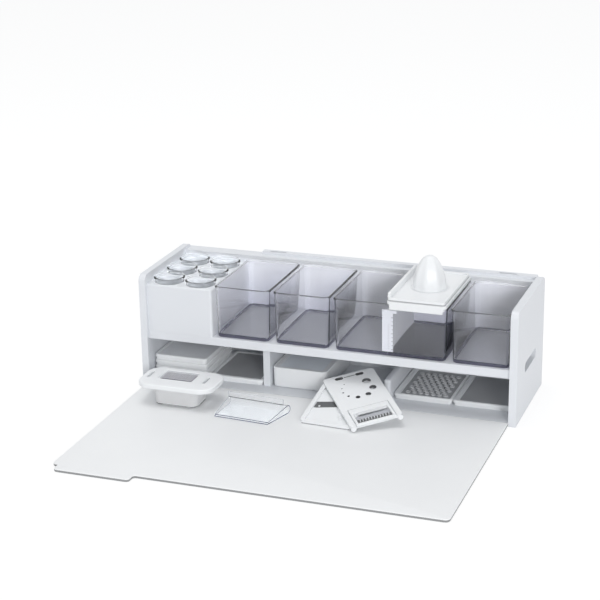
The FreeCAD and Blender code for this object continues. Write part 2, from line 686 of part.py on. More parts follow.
def bin_divider():
    """An upright partition in the wide bin, with a capped scale strip on its front edge."""
    x = SCALE_X + (SCALE_W - PARTITION_T) / 2
    reach = BIN_RIM + BIN_WALL + BIN_TAPER + FIT
    y0, y1 = BIN_FRONT + reach, BIN_FRONT + BIN_D - reach
    z = SHELF_TOP + BIN_FLOOR + FIT
    partition = box(x, x + PARTITION_T, y0, y1, z, z + PARTITION_H)
    s0 = SCALE_X
    top = z + SCALE_UP + SCALE_H
    strip = box(s0, s0 + SCALE_W, y0, y0 + SCALE_T, z + SCALE_UP, top)
    cap = box(s0, s0 + SCALE_CAP_W, y0, y0 + SCALE_CAP_T, top - SCALE_CAP_H, top)
    return partition.fuse([strip, cap]).removeSplitter()


def juicer_base_tray():
    """The tray that catches the juice: a flange on the bin's rim, a lip over the rim's front and a
    basin inside the bin."""
    flange = rounded(JUICER_X0, JUICER_X1, BIN_FRONT, BIN_FRONT + BIN_D,
                     JUICER_Z, JUICER_Z + JUICER_FLANGE_H, JUICER_R)
    lip_y = BIN_FRONT - SLIDE
    skirt = box(JUICER_X0 + JUICER_R, JUICER_X1 - JUICER_R, lip_y - SKIRT_T, lip_y,
                JUICER_Z - SKIRT_H, JUICER_Z + JUICER_FLANGE_H)
    bridge = box(JUICER_X0 + JUICER_R, JUICER_X1 - JUICER_R, lip_y, BIN_FRONT + JUICER_R,
                 JUICER_Z, JUICER_Z + JUICER_FLANGE_H)
    flange = flange.fuse([skirt, bridge])
    step = BIN_RIM + BIN_WALL + BIN_TAPER
    x0, x1 = SCALE_X + SCALE_W + SLIDE, WIDE_BIN_X + WIDE_BIN_W - step - BASIN_SPARE
    y0, y1 = BIN_FRONT + step, BIN_FRONT + BIN_D - step
    basin = rounded(x0, x1, y0, y1, JUICER_Z - JUICER_PLUG_H, JUICER_Z, JUICER_R)
    w = JUICER_WALL
    hollow = rounded(x0 + w, x1 - w, y0 + w, y1 - w, JUICER_Z - JUICER_PLUG_H + w,
                     JUICER_Z + JUICER_FLANGE_H, JUICER_R - w)
    return flange.fuse(basin).cut(hollow).removeSplitter()


def juicer_top_tray():
    """The strainer tray, with a fence along its left side and drain holes around the cone."""
    top = JUICER_TOP_Z + JUICER_TOP_H
    x0, x1 = JUICER_X0, JUICER_X1 - STRAINER_IN
    y0, y1 = BIN_FRONT + STRAINER_IN, BIN_FRONT + BIN_D
    tray = rounded(x0, x1, y0, y1, JUICER_TOP_Z, top, JUICER_R)
    w = JUICER_WALL
    tray = tray.cut(rounded(x0 + JUICER_FENCE_T, x1 - w, y0 + w, y1 - w, JUICER_TOP_Z + w, top, JUICER_R - w))
    fence = box(x0, x0 + JUICER_FENCE_T, y0 + JUICER_R, y1 - JUICER_R, top, top + JUICER_FENCE_H)
    crest = [e for e in fence.Edges if e.BoundBox.ZMin > top + 1]
    fence = fence.makeFillet(JUICER_FENCE_T / 2 - FIT, crest)
    tray = tray.fuse(fence).removeSplitter()
    drains = []
    for i in range(DRAIN_COUNT):
        turn = 2 * math.pi * i / DRAIN_COUNT
        reach = CONE_FLANGE_R + DRAIN_OUT
        at = V(CONE_X + reach * math.cos(turn), CONE_Y + reach * math.sin(turn), JUICER_TOP_Z)
        drains.append(rod(DRAIN_R, w, at, V(0, 0, 1)))
    return tray.cut(drains)


def cone_section(share):
    """A level section through the reamer at a share of its height: a round with broad soft flutes
    that fade out towards the tip."""
    radius = CONE_TIP_R + (CONE_R - CONE_TIP_R) * (1 - share ** 2) ** CONE_FULLNESS
    deep = FLUTE_DEEP * (1 - share ** 4)
    points = []
    for i in range(CONE_FLUTES * FLUTE_POINTS):
        turn = 2 * math.pi * i / (CONE_FLUTES * FLUTE_POINTS)
        r = radius - deep * (1 - math.cos(CONE_FLUTES * turn)) / 2
        points.append(V(r * math.cos(turn), r * math.sin(turn), share * CONE_H))
    curve = Part.BSplineCurve()
    curve.interpolate(points, PeriodicFlag=True)
    return Part.Wire(curve.toShape())


def juicer_cone():
    """The reamer: a dome with broad soft flutes, on a thin round flange."""
    flange = rod(CONE_FLANGE_R, CONE_FLANGE_H, V(0, 0, 0), V(0, 0, 1))
    sections = [cone_section(share) for share in CONE_SHARES]
    cone = Part.makeLoft(sections, True, False).fuse(flange)
    cone.translate(V(CONE_X, CONE_Y, JUICER_TOP_Z + JUICER_WALL + FIT))
    return cone


# ---- insert trays -------------------------------------------------------------------------------
def insert_frame(x0, y0, z0, width, left, rim):
    """A frame with a seat for its plate. The left rim may be broader than the others."""
    x1, y1, z1 = x0 + width, y0 + FRAME_D, z0 + FRAME_H
    body = rounded(x0, x1, y0, y1, z0, z1, FRAME_R)
    seat_z = z1 - PLATE_SUNK - PLATE_T
    seat = rounded(x0 + left, x1 - rim, y0 + rim, y1 - rim, seat_z, z1, FRAME_R / 2)
    left += FRAME_LEDGE
    rim += FRAME_LEDGE
    hole = rounded(x0 + left, x1 - rim, y0 + rim, y1 - rim, z0, z1, FRAME_R / 2)
    return body.cut(seat).cut(hole)


def cross_slots(plate, x0, x1, y0, y1, z):
    """Rows of slots across the plate, as a slicing or julienne insert has."""
    count = int((y1 - y0) // SLOT_PITCH)
    start = (y0 + y1) / 2 - SLOT_PITCH * (count - 1) / 2
    cuts = [box(x0, x1, start + SLOT_PITCH * i, start + SLOT_PITCH * i + SLOT_W, z, z + PLATE_T)
            for i in range(count)]
    return plate.cut(cuts)


def round_holes(plate, x0, x1, y0, y1, z, radius, pitch):
    """A staggered field of round grating holes."""
    cuts = []
    rows = int((y1 - y0) // pitch)
    columns = int((x1 - x0) // pitch)
    for j in range(rows):
        shift = pitch / 2 if j % 2 else 0
        for i in range(columns):
            at = V(x0 + pitch / 4 + radius + shift + i * pitch, y0 + pitch * (j + 0.5), z)
            if at.x + radius < x1:
                cuts.append(rod(radius, PLATE_T, at, V(0, 0, 1)))
    return plate.cut(cuts)


def insert_plate(x0, y0, z0, width, left, rim, kind):
    z = z0 + FRAME_H - PLATE_SUNK - PLATE_T
    x0, x1 = x0 + left + FIT, x0 + width - rim - FIT
    y0, y1 = y0 + rim + FIT, y0 + FRAME_D - rim - FIT
    plate = rounded(x0, x1, y0, y1, z, z + PLATE_T, FRAME_R / 2)
    m = FRAME_LEDGE + FIELD_MARGIN
    field = (x0 + m, x1 - m, y0 + m, y1 - m, z)
    if kind == "slots":
        return cross_slots(plate, *field)
    if kind == "coarse":
        return round_holes(plate, *field, COARSE_R, COARSE_PITCH)
    if kind == "blade":
        mouth = y0 + (y1 - y0) * MOUTH_AT
        return plate.cut(box(field[0], field[1], mouth, mouth + INSERT_MOUTH, z, z + PLATE_T))
    return plate


def insert_places():
    """Each insert tray: its name, its low front left corner, its width, left rim and other rims, and
    the kind of plate in it."""
    x = LEFT + BAY_GAP
    even = (FRAME_W, FRAME_RIM, FRAME_RIM)
    broad = (RIGHT_FRAME_W, BROAD_RIM, NARROW_RIM)
    kinds = ("blade", "slots", "coarse", "plain")
    places = []
    for i in range(STACK_COUNT):
        z = DECK + i * (FRAME_H + FIT)
        places.append(("stack_%d" % (i + 1), x, FRONT + STACK_INSET, z, *even, kinds[i % len(kinds)]))
    places.append(("low", x + FRAME_W + BAY_GAP, FRONT + LOW_INSET, DECK, *even, "plain"))
    x = RIGHT_DIVIDER_X + DIVIDER_T + RIGHT_GAP
    places.append(("coarse", x, FRONT + RIGHT_INSET, DECK, *broad, "coarse"))
    places.append(("plain", x + RIGHT_FRAME_W + RIGHT_BETWEEN, FRONT + RIGHT_INSET, DECK, *broad, "plain"))
    return places


def deep_box_span():
    x0 = LEFT_DIVIDER_X + DIVIDER_T + DEEP_SIDE
    y0 = FRONT + DEEP_INSET
    return x0, x0 + DEEP_W, y0, y0 + DEEP_D


def deep_box():
    x0, x1, y0, y1 = deep_box_span()
    shell = rounded(x0, x1, y0, y1, DECK, DECK + DEEP_H, DEEP_R)
    w = DEEP_WALL
    top = DECK + DEEP_H
    seat_z = top - DEEP_LID_SUNK - DEEP_LID_T - FIT
    hollow = rounded(x0 + 2 * w, x1 - 2 * w, y0 + 2 * w, y1 - 2 * w, DECK + DEEP_FLOOR, top, DEEP_R - w)
    seat = rounded(x0 + w, x1 - w, y0 + w, y1 - w, seat_z, top, DEEP_R - w)
    return shell.cut(hollow).cut(seat)


def deep_box_lid():
    x0, x1, y0, y1 = deep_box_span()
    w = DEEP_WALL + SLIDE
    z1 = DECK + DEEP_H - DEEP_LID_SUNK
    lid = rounded(x0 + w, x1 - w, y0 + w, y1 - w, z1 - DEEP_LID_T, z1, DEEP_R - w)
    w += DEEP_LID_RIM
    return lid.cut(rounded(x0 + w, x1 - w, y0 + w, y1 - w, z1 - DEEP_LID_DIP, z1, DEEP_LID_R))


# ---- tools on the board -------------------------------------------------------------------------
def grater_span(width, depth, shift_x=0.0, shift_y=0.0):
    x, y = GRATER_X + shift_x, FRONT + GRATER_Y + shift_y
    return x - width / 2, x + width / 2, y - depth / 2, y + depth / 2


def grater_cup():
    x0, x1, y0, y1 = grater_span(GRATER_CUP_W, GRATER_CUP_D, 0, GRATER_CUP_SHIFT)
    w = GRATER_CUP_WALL
    top = ON_BOARD + GRATER_CUP_H
    shell = tapered(x0, x1, y0, y1, ON_BOARD, top, GRATER_CUP_R, GRATER_CUP_TAPER)
    hollow = tapered(x0 + w, x1 - w, y0 + w, y1 - w, ON_BOARD + w, top, GRATER_CUP_R - w, GRATER_CUP_TAPER)
    return shell.cut(hollow)


def grater_frame():
    x0, x1, y0, y1 = grater_span(GRATER_W, GRATER_D)
    top = GRATER_Z + GRATER_H
    frame = rounded(x0, x1, y0, y1, GRATER_Z, top, GRATER_R)
    frame = frame.makeFillet(GRATER_EDGE_R, [e for e in frame.Edges if e.BoundBox.ZMin > top - 1e-3])
    px0, px1, py0, py1 = grater_span(RASP_W, RASP_D, RASP_SHIFT_X, RASP_SHIFT)
    seat = rounded(px0 - FIT, px1 + FIT, py0 - FIT, py1 + FIT, top - RASP_SUNK, top, RASP_R)
    w = RASP_LEDGE
    opening = rounded(px0 + w, px1 - w, py0 + w, py1 - w, GRATER_Z, top, RASP_R - w / 2)
    frame = frame.cut(seat).cut(opening)
    y = (y0 + y1) / 2 + GRATER_SLOT_BACK
    for side in (-1, 1):
        x = GRATER_X + side * GRATER_SLOT_OUT + GRATER_SLOT_LEFT
        frame = frame.cut(slot(GRATER_SLOT_L, GRATER_SLOT_W, GRATER_H, V(x, y, GRATER_Z)))
    return frame


def grater_plate():
    px0, px1, py0, py1 = grater_span(RASP_W, RASP_D, RASP_SHIFT_X, RASP_SHIFT)
    z = GRATER_Z + GRATER_H - RASP_SUNK
    return rounded(px0, px1, py0, py1, z, z + RASP_T, RASP_R - FIT)


def clear_stand():
    """One clear sheet: a lower leaf on the board, a rear bend, an upper leaf that slopes down to
    the front, and an upright lip along the top of the bend."""
    t = STAND_T / 2
    r = STAND_BEND_R
    cy, cz = STAND_L - r - t, t + r
    slope = math.atan2(2 * r - STAND_T - STAND_OPEN, cy)
    up = V(0, -math.sin(slope), math.cos(slope))
    tangent_out = V(0, cy, cz) + up * (r + t)
    tangent_in = V(0, cy, cz) + up * (r - t)
    run = cy - STAND_SHORT
    along = V(0, -math.cos(slope), -math.sin(slope))
    tip_out = tangent_out + along * run
    tip_in = tangent_in + along * run
    mid_out = V(0, cy + r + t, cz)
    mid_in = V(0, cy + r - t, cz)
    edges = [
        Part.makeLine(V(0, 0, 0), V(0, cy, 0)),
        Part.Arc(V(0, cy, 0), mid_out, tangent_out).toShape(),
        Part.makeLine(tangent_out, tip_out),
        Part.makeLine(tip_out, tip_in),
        Part.makeLine(tip_in, tangent_in),
        Part.Arc(tangent_in, mid_in, V(0, cy, 2 * t)).toShape(),
        Part.makeLine(V(0, cy, 2 * t), V(0, 0, 2 * t)),
        Part.makeLine(V(0, 0, 2 * t), V(0, 0, 0)),
    ]
    sheet = Part.Face(Part.Wire(edges)).extrude(V(STAND_W, 0, 0))
    corner = Part.makePolygon([V(STAND_FRONT_W, 0, 0), V(STAND_W, 0, 0), V(STAND_W, STAND_L, 0),
                               V(STAND_FRONT_W, 0, 0)])
    sheet = sheet.cut(Part.Face(corner).extrude(V(0, 0, 2 * (r + STAND_T))))
    base_z = cz + r - t
    y1 = cy + STAND_LIP_BACK
    lip = box(0, STAND_LIP_W, y1 - STAND_T, y1, base_z, base_z + STAND_LIP + STAND_T)
    stand = sheet.fuse(lip).removeSplitter()
    turn = FreeCAD.Rotation(V(0, 0, 1), STAND_YAW)
    stand.Placement = FreeCAD.Placement(V(STAND_X, FRONT + STAND_Y, ON_BOARD), turn)
    return stand


def slicer_placement():
    """The lower slicer's own frame: X across, Y along, Z out of its face."""
    turn = FreeCAD.Rotation(V(0, 0, 1), SLICER_YAW).multiply(FreeCAD.Rotation(V(1, 0, 0), SLICER_PITCH))
    return FreeCAD.Placement(V(SLICER_X, FRONT + SLICER_Y, ON_BOARD), turn)


def on_slicer(shape):
    shape.Placement = slicer_placement()
    return shape


def top_placement():
    """The upper slicer's own frame, in the lower one's."""
    turn = FreeCAD.Rotation(V(0, 0, 1), TOP_TURN)
    return FreeCAD.Placement(V(TOP_AT_X, TOP_AT_Y, SLICER_H + TOP_GAP), turn)


def on_top_slicer(shape):
    shape.Placement = slicer_placement().multiply(top_placement())
    return shape


def blade_outline(grow, z):
    """The slanting blade's outline on the lower slicer's deck, larger by a margin on each side."""
    side = SLICER_RAIL + BASE_BLADE_SIDE - grow
    x0, x1 = side, SLICER_W - side
    y0, y1 = BASE_BLADE_Y - grow, BASE_BLADE_Y + BASE_BLADE_L + grow
    slant = BASE_BLADE_SLANT
    return [V(x0, y0, z), V(x1, y0 + slant, z), V(x1, y1 + slant, z), V(x0, y1, z)]


def slicer_base():
    """The lower slicer: side rails, a sunk deck, a blade mouth and a rounded rear end."""
    base = rounded(0, SLICER_W, 0, SLICER_L, 0, SLICER_H, SLICER_R)
    middle = SLICER_W / 2
    tail = rod(middle, SLICER_H, V(middle, SLICER_L - middle + TAIL_OUT, 0), V(0, 0, 1))
    keep = box(0, SLICER_W, 0, SLICER_L - middle + TAIL_OUT + TAIL_SIDE, 0, SLICER_H).fuse(tail)
    base = base.common(keep)
    deck = rounded(SLICER_RAIL, SLICER_W - SLICER_RAIL, DECK_FRONT, SLICER_L - DECK_BACK,
                   SLICER_DECK, SLICER_H, DECK_R)
    base = base.cut(deck)
    base = base.cut(prism(blade_outline(FIT, SLICER_DECK - BLADE_T), V(0, 0, BLADE_T)))
    mouth = [V(p.x, p.y - BASE_MOUTH_SHIFT, 0) for p in blade_outline(-BASE_MOUTH_IN, 0)]
    base = base.cut(prism(mouth, V(0, 0, SLICER_DECK)))
    loop = slot(HANG_L, HANG_W, SLICER_H, V(0, 0, 0))
    loop.rotate(V(0, 0, 0), V(0, 0, 1), 90)
    loop.translate(V(middle, SLICER_L - HANG_BACK, 0))
    return on_slicer(base.cut(loop).removeSplitter())


def slicer_base_blade():
    return on_slicer(prism(blade_outline(0, SLICER_DECK - BLADE_T), V(0, 0, BLADE_T)))


def slicer_foot():
    """The leg under the lower slicer: a plate across it, cut level with the board."""
    height = (LEG_BACK + LEG_T) * math.tan(math.radians(SLICER_PITCH)) + LEG_T
    leg = box(LEG_INSET, SLICER_W - LEG_INSET, LEG_BACK, LEG_BACK + LEG_T, -height, 0)
    post = LEG_INSET + LEG_POST
    window = box(post, SLICER_W - post, LEG_BACK, LEG_BACK + LEG_T, -height, -LEG_BAR)
    leg = on_slicer(leg.cut(window))
    wide = 2 * max(SLICER_W, SLICER_L)
    middle = leg.BoundBox.Center
    ground = box(middle.x - wide, middle.x + wide, middle.y - wide, middle.y + wide,
                 ON_BOARD - height - LEG_T, ON_BOARD)
    return leg.cut(ground)


def hole_places():
    """The measuring holes on a ring of the upper slicer, growing round it."""
    places = []
    turn = math.radians(HOLE_START)
    before = HOLE_RADII[0]
    for i, radius in enumerate(HOLE_RADII):
        if i:
            turn += (before + HOLE_BETWEEN + radius) / HOLE_RING_R
        before = radius
        places.append((HOLE_RING_X + HOLE_RING_R * math.cos(turn),
                       HOLE_RING_Y + HOLE_RING_R * math.sin(turn), radius))
    return places


def recess_span(margin):
    """Left and right sides of the upper slicer's recess, moved in by a margin."""
    side = (SLICER_W - MOUTH_W) / 2 + margin
    return side, SLICER_W - side


def slicer_top():
    """The upper slicer: a plate with a ring of holes, two hanging slots and a recess for the blade
    holder between two arms with round ends."""
    plate = rounded(0, SLICER_W, 0, TOP_L, 0, TOP_T, SLICER_R)
    x0, x1 = recess_span(0)
    for x in (x0 / 2, SLICER_W - x0 / 2):
        plate = plate.fuse(rod(BOSS_R, BOSS_L, V(x, -BOSS_OUT, TOP_T - BOSS_R), V(0, 1, 0)))
    for x, y, radius in hole_places():
        plate = plate.cut(rod(radius, TOP_T, V(x, y, 0), V(0, 0, 1)))
    recess = box(x0, x1, -BOSS_OUT, MOUTH_L, TOP_T - MOUTH_DEEP, TOP_T)
    s0, s1 = recess_span(HOLDER_GAP + HOLDER_SIDE)
    slit = box(s0, s1, SLIT_Y, SLIT_Y + SLIT_L, 0, TOP_T)
    plate = plate.cut(recess).cut(slit)
    for side in (-1, 1):
        hang = slot(TOP_SLOTS_L, TOP_SLOTS_W, TOP_T, V(0, 0, 0))
        hang.rotate(V(0, 0, 0), V(0, 0, 1), 90)
        hang.translate(V(SLICER_W / 2 + side * TOP_SLOTS_APART / 2, TOP_L - TOP_SLOTS_BACK, 0))
        plate = plate.cut(hang)
    return on_top_slicer(plate.removeSplitter())


def blade_holder():
    """The removable frame round the upper slicer's blades."""
    x0, x1 = recess_span(HOLDER_GAP)
    y0, y1 = HOLDER_FRONT, MOUTH_L - HOLDER_GAP
    z0, z1 = TOP_T - MOUTH_DEEP, TOP_T + HOLDER_UP
    frame = box(x0, x1, y0, y1, z0, z1)
    window = box(x0 + HOLDER_SIDE, x1 - HOLDER_SIDE, y0 + HOLDER_BAR, y1 - HOLDER_BACK, z0, z1)
    return on_top_slicer(frame.cut(window))


def toothed_blade():
    """The julienne blade in the holder's window: a strip with upright teeth."""
    x0, x1 = recess_span(HOLDER_GAP + HOLDER_SIDE + FIT)
    z = TOP_T - MOUTH_DEEP
    strip = box(x0, x1, TEETH_Y, TEETH_Y + TEETH_L, z, z + BLADE_T)
    pitch = (x1 - x0) / (TOOTH_COUNT + 1)
    y = TEETH_Y + (TEETH_L - TOOTH_L) / 2
    teeth = []
    for i in range(TOOTH_COUNT):
        x = x0 + pitch * (i + 1) - TOOTH_W / 2
        teeth.append(box(x, x + TOOTH_W, y, y + TOOTH_L, z + BLADE_T, TOP_T + TOOTH_UP))
    return on_top_slicer(strip.fuse(teeth).removeSplitter())


def straight_blade():
    """The flat blade between the teeth and the slit."""
    x0, x1 = recess_span(HOLDER_GAP + HOLDER_SIDE + FIT)
    z = TOP_T - MOUTH_DEEP
    return on_top_slicer(box(x0, x1, FLAT_Y, FLAT_Y + FLAT_L, z, z + BLADE_T))


# ---- every node ---------------------------------------------------------------------------------
save("left_end_panel", end_panel(-1))
save("right_end_panel", end_panel(1))
save("floor_panel", floor_panel())
save("rear_wall", rear_wall())
save("shelf", shelf())
save("divider_left", box(LEFT_DIVIDER_X, LEFT_DIVIDER_X + DIVIDER_T, FRONT + DIVIDER_INSET, WALL_FRONT,
                         FLOOR_T, SHELF_TOP - SHELF_T))
save("divider_right", low_divider())
save("cup_block", cup_block())
save("feet", *[rod(FOOT_R, FOOT_T, V(x, y, 0), V(0, 0, 1)) for x, y in feet_places()])
save("housing_screws", *housing_screws())
save("hinge_pins", *hinge_pins())
save("board_front", board_front())
for number in range(1, FOLDS):
    save("fold_slat_%d" % number, fold_slat(number))
save("board_top", board_top())
for name, x, width in (("bin_1", BIN_1_X, BIN_W), ("bin_2", BIN_2_X, BIN_W),
                       ("wide_bin", WIDE_BIN_X, WIDE_BIN_W), ("bin_4", BIN_4_X, BIN_W)):
    save(name, clear_bin(x, width))
save("bin_divider", bin_divider())
save("juicer_base_tray", juicer_base_tray())
save("juicer_top_tray", juicer_top_tray())
save("juicer_cone", juicer_cone())
for number, (x, y) in enumerate(cup_places(), 1):
    save("cup_%d" % number, cup(x, y))
for name, x, y, z, width, left, rim, kind in insert_places():
    save("%s_frame" % name, insert_frame(x, y, z, width, left, rim))
    save("%s_plate" % name, insert_plate(x, y, z, width, left, rim, kind))
save("deep_box", deep_box())
save("deep_box_lid", deep_box_lid())
save("grater_cup", grater_cup())
save("grater_frame", grater_frame())
save("grater_plate", grater_plate())
save("clear_stand", clear_stand())
save("slicer_base", slicer_base())
save("slicer_base_blade", slicer_base_blade())
save("slicer_foot", slicer_foot())
save("slicer_top", slicer_top())
save("blade_holder", blade_holder())
save("toothed_blade", toothed_blade())
save("straight_blade", straight_blade())
print("hinge y %.3f z %.3f, folds at %s" % (
    HINGE_Y, HINGE_Z, ["%.3f" % board_y(FIRST_FOLD + SLAT * i) for i in range(FOLDS)]))
print("length %.1f depth %.1f height %.1f" % (LENGTH, DEPTH, HEIGHT))
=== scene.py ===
# %% [markdown]
# # A kitchen preparation station
# The real object is a long white plastic housing that stands on a worktop. Its upper deck holds
# clear food bins, six small cups and a citrus press, and its lower deck holds flat insert trays.
# A big white cutting board is hinged along the bottom front edge. It lies open here, and it folds
# up and over the housing as a lid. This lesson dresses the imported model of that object. The model
# fixes every place and size, so each cell asks it where a piece is and gives that piece its looks.

# %% Load the frame
import json
import math

import bmesh
import bpy
from mathutils import Matrix, Vector


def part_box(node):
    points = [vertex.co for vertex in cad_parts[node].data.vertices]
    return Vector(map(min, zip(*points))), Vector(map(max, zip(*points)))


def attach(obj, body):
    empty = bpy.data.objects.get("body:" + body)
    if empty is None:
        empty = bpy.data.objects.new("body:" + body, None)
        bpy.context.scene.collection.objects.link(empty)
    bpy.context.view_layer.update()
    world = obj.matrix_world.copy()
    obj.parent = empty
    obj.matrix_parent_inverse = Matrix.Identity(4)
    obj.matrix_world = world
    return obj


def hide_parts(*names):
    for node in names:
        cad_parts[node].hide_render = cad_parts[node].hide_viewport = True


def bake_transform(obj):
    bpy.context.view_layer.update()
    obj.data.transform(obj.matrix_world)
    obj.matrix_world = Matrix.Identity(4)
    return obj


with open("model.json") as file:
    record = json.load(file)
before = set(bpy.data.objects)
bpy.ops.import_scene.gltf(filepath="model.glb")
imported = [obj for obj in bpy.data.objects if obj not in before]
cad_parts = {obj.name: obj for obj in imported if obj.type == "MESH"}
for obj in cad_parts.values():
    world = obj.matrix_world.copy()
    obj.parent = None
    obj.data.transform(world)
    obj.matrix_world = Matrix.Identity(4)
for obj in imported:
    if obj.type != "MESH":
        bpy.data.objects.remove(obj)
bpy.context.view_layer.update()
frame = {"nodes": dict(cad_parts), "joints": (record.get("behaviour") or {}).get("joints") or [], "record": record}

MM = 0.001
body_of_node = {}
for body, nodes in frame["record"]["behaviour"]["bodies"].items():
    for node in nodes:
        body_of_node[node] = body
slot_of_node = {part["node"]: part["material_slot"] for part in frame["record"]["subparts"]}

# %% [markdown]
# ## The camera
# A camera is a place, three axes and a focal length. This one stands to the right of the object and
# looks down at it with a long lens, which keeps upright edges nearly parallel. Writing its rotation
# from azimuth, elevation and roll keeps the numbers readable, where a quaternion would not.

# %% Camera
AZIMUTH = math.radians(20.067)
ELEVATION = math.radians(19.051)
ROLL = math.radians(-0.933)
CAMERA_PLACE = Vector((0.83905, -2.49205, 1.05563))
SENSOR = 36.0
FOCAL_SHARE = 2.8092     # focal length as a share of the sensor's width

back = Vector((math.sin(AZIMUTH) * math.cos(ELEVATION), -math.cos(AZIMUTH) * math.cos(ELEVATION),
               math.sin(ELEVATION)))
level = (-back).cross(Vector((0, 0, 1))).normalized()
upward = level.cross(-back)
right = level * math.cos(ROLL) + upward * math.sin(ROLL)
top = upward * math.cos(ROLL) - level * math.sin(ROLL)
lens = bpy.data.cameras.new("camera")
lens.sensor_width = SENSOR
lens.lens = SENSOR * FOCAL_SHARE
camera = bpy.data.objects.new("camera", lens)
camera.matrix_world = Matrix.Translation(CAMERA_PLACE) @ Matrix((right, top, back)).transposed().to_4x4()
bpy.context.scene.collection.objects.link(camera)
bpy.context.scene.camera = camera
print("lens %.1f mm" % lens.lens)

# %% [markdown]
# ## The room
# White plastic shows its shape only through soft shade, so the room is a pale floor, a big lamp
# overhead, a second one far off in front and to the right, and an even sky. A picture of a real
# studio could light the object too, but lamps can be set one by one. A ray that the camera, a
# mirror or clear plastic sends out sees plain white instead of the sky, so the picture's ground is
# white and no lamp has to make it so.

# %% Room
SKY_COLOUR = (0.98, 0.99, 1.0)
SKY_STRENGTH = 0.62      # for the rays that don't see the sky directly
LAMPS = (
    # name, place, size, power
    ("key", (-0.6, -0.1, 3.9), 2.0, 38.0),
    ("front", (3.2, -5.0, 1.7), 2.0, 122.0),
)


def seen_directly(tree):
    """A node output that is 1 on camera, glossy and transmission rays and 0 on others."""
    path = tree.nodes.new("ShaderNodeLightPath")
    total = None
    for name in ("Is Camera Ray", "Is Glossy Ray", "Is Transmission Ray"):
        if total is None:
            total = path.outputs[name]
            continue
        join = tree.nodes.new("ShaderNodeMath")
        join.operation = "MAXIMUM"
        tree.links.new(total, join.inputs[0])
        tree.links.new(path.outputs[name], join.inputs[1])
        total = join.outputs[0]
    return total


scene = bpy.context.scene
scene.view_settings.view_transform = "Standard"
world = bpy.data.worlds.new("studio")
scene.world = world
world.use_nodes = True
sky = world.node_tree.nodes["Background"]
sky.inputs["Color"].default_value = (*SKY_COLOUR, 1)
strength = world.node_tree.nodes.new("ShaderNodeMapRange")
strength.inputs["To Min"].default_value = SKY_STRENGTH
strength.inputs["To Max"].default_value = 1.0
world.node_tree.links.new(seen_directly(world.node_tree), strength.inputs["Value"])
world.node_tree.links.new(strength.outputs["Result"], sky.inputs["Strength"])

for name, place, size, power in LAMPS:
    lamp = bpy.data.lights.new(name, "AREA")
    lamp.shape = "DISK"
    lamp.size = size
    lamp.energy = power
    lamp_object = bpy.data.objects.new(name, lamp)
    lamp_object.location = place
    lamp_object.rotation_euler = (-Vector(place)).to_track_quat("-Z", "Y").to_euler()
    scene.collection.objects.link(lamp_object)
print("lamps:", [row[0] for row in LAMPS])

# %% [markdown]
# The floor keeps the object's shadow. A plain pale surface would turn grey towards its far side, so
# its material mixes in a share of white glow, for the rays that see it directly. The lit floor then
# reaches white, and the shadow stays as a soft grey. The floor is staged, so it isn't part of the
# object.

# %% Floor
FLOOR_SPAN = 12.0
FLOOR_DROP = 0.2 * MM    # the floor lies this far under the feet
FLOOR_COLOUR = (0.90, 0.905, 0.91)
FLOOR_GLOW = 0.66        # the glow's share of the mix
GLOW_STRENGTH = 1.14

floor_material = bpy.data.materials.new("pale_floor")
floor_material.use_nodes = True
tree = floor_material.node_tree
tree.nodes.remove(tree.nodes["Principled BSDF"])
diffuse = tree.nodes.new("ShaderNodeBsdfDiffuse")
diffuse.inputs["Color"].default_value = (*FLOOR_COLOUR, 1)
glow = tree.nodes.new("ShaderNodeEmission")
glow.inputs["Color"].default_value = (1, 1, 1, 1)
glow.inputs["Strength"].default_value = GLOW_STRENGTH
share = tree.nodes.new("ShaderNodeMath")
share.operation = "MULTIPLY"
share.inputs[1].default_value = FLOOR_GLOW
blend = tree.nodes.new("ShaderNodeMixShader")
tree.links.new(seen_directly(tree), share.inputs[0])
tree.links.new(share.outputs[0], blend.inputs[0])
tree.links.new(diffuse.outputs[0], blend.inputs[1])
tree.links.new(glow.outputs[0], blend.inputs[2])
tree.links.new(blend.outputs[0], tree.nodes["Material Output"].inputs["Surface"])
bpy.ops.mesh.primitive_plane_add(size=FLOOR_SPAN, location=(0, 0, -FLOOR_DROP))
floor = bpy.context.object
floor.name = "floor"
floor.data.materials.append(floor_material)
print("floor", FLOOR_SPAN, "m wide")

# %% [markdown]
# ## Finishes
# Each finish starts from the same base, one principled shader fed by noise in the piece's own
# coordinates. A broad noise shifts the colour a little, as moulded plastic does, a finer one varies
# the gloss, and the finest one is a bump for the tool marks in the mould. A picture would need
# UV maps on every piece. Noise in space needs none and never shows a seam.

# %% Finish helper
TINT_NOISE = 9.0         # grains to the metre of the noise that shifts the colour
GLOSS_NOISE = 60.0
GLOSS_SPREAD = 0.06      # share by which the gloss varies
BUMP_STRENGTH = 0.6
TINT_BAND = (0.35, 0.65)     # the noise values between which the colour changes


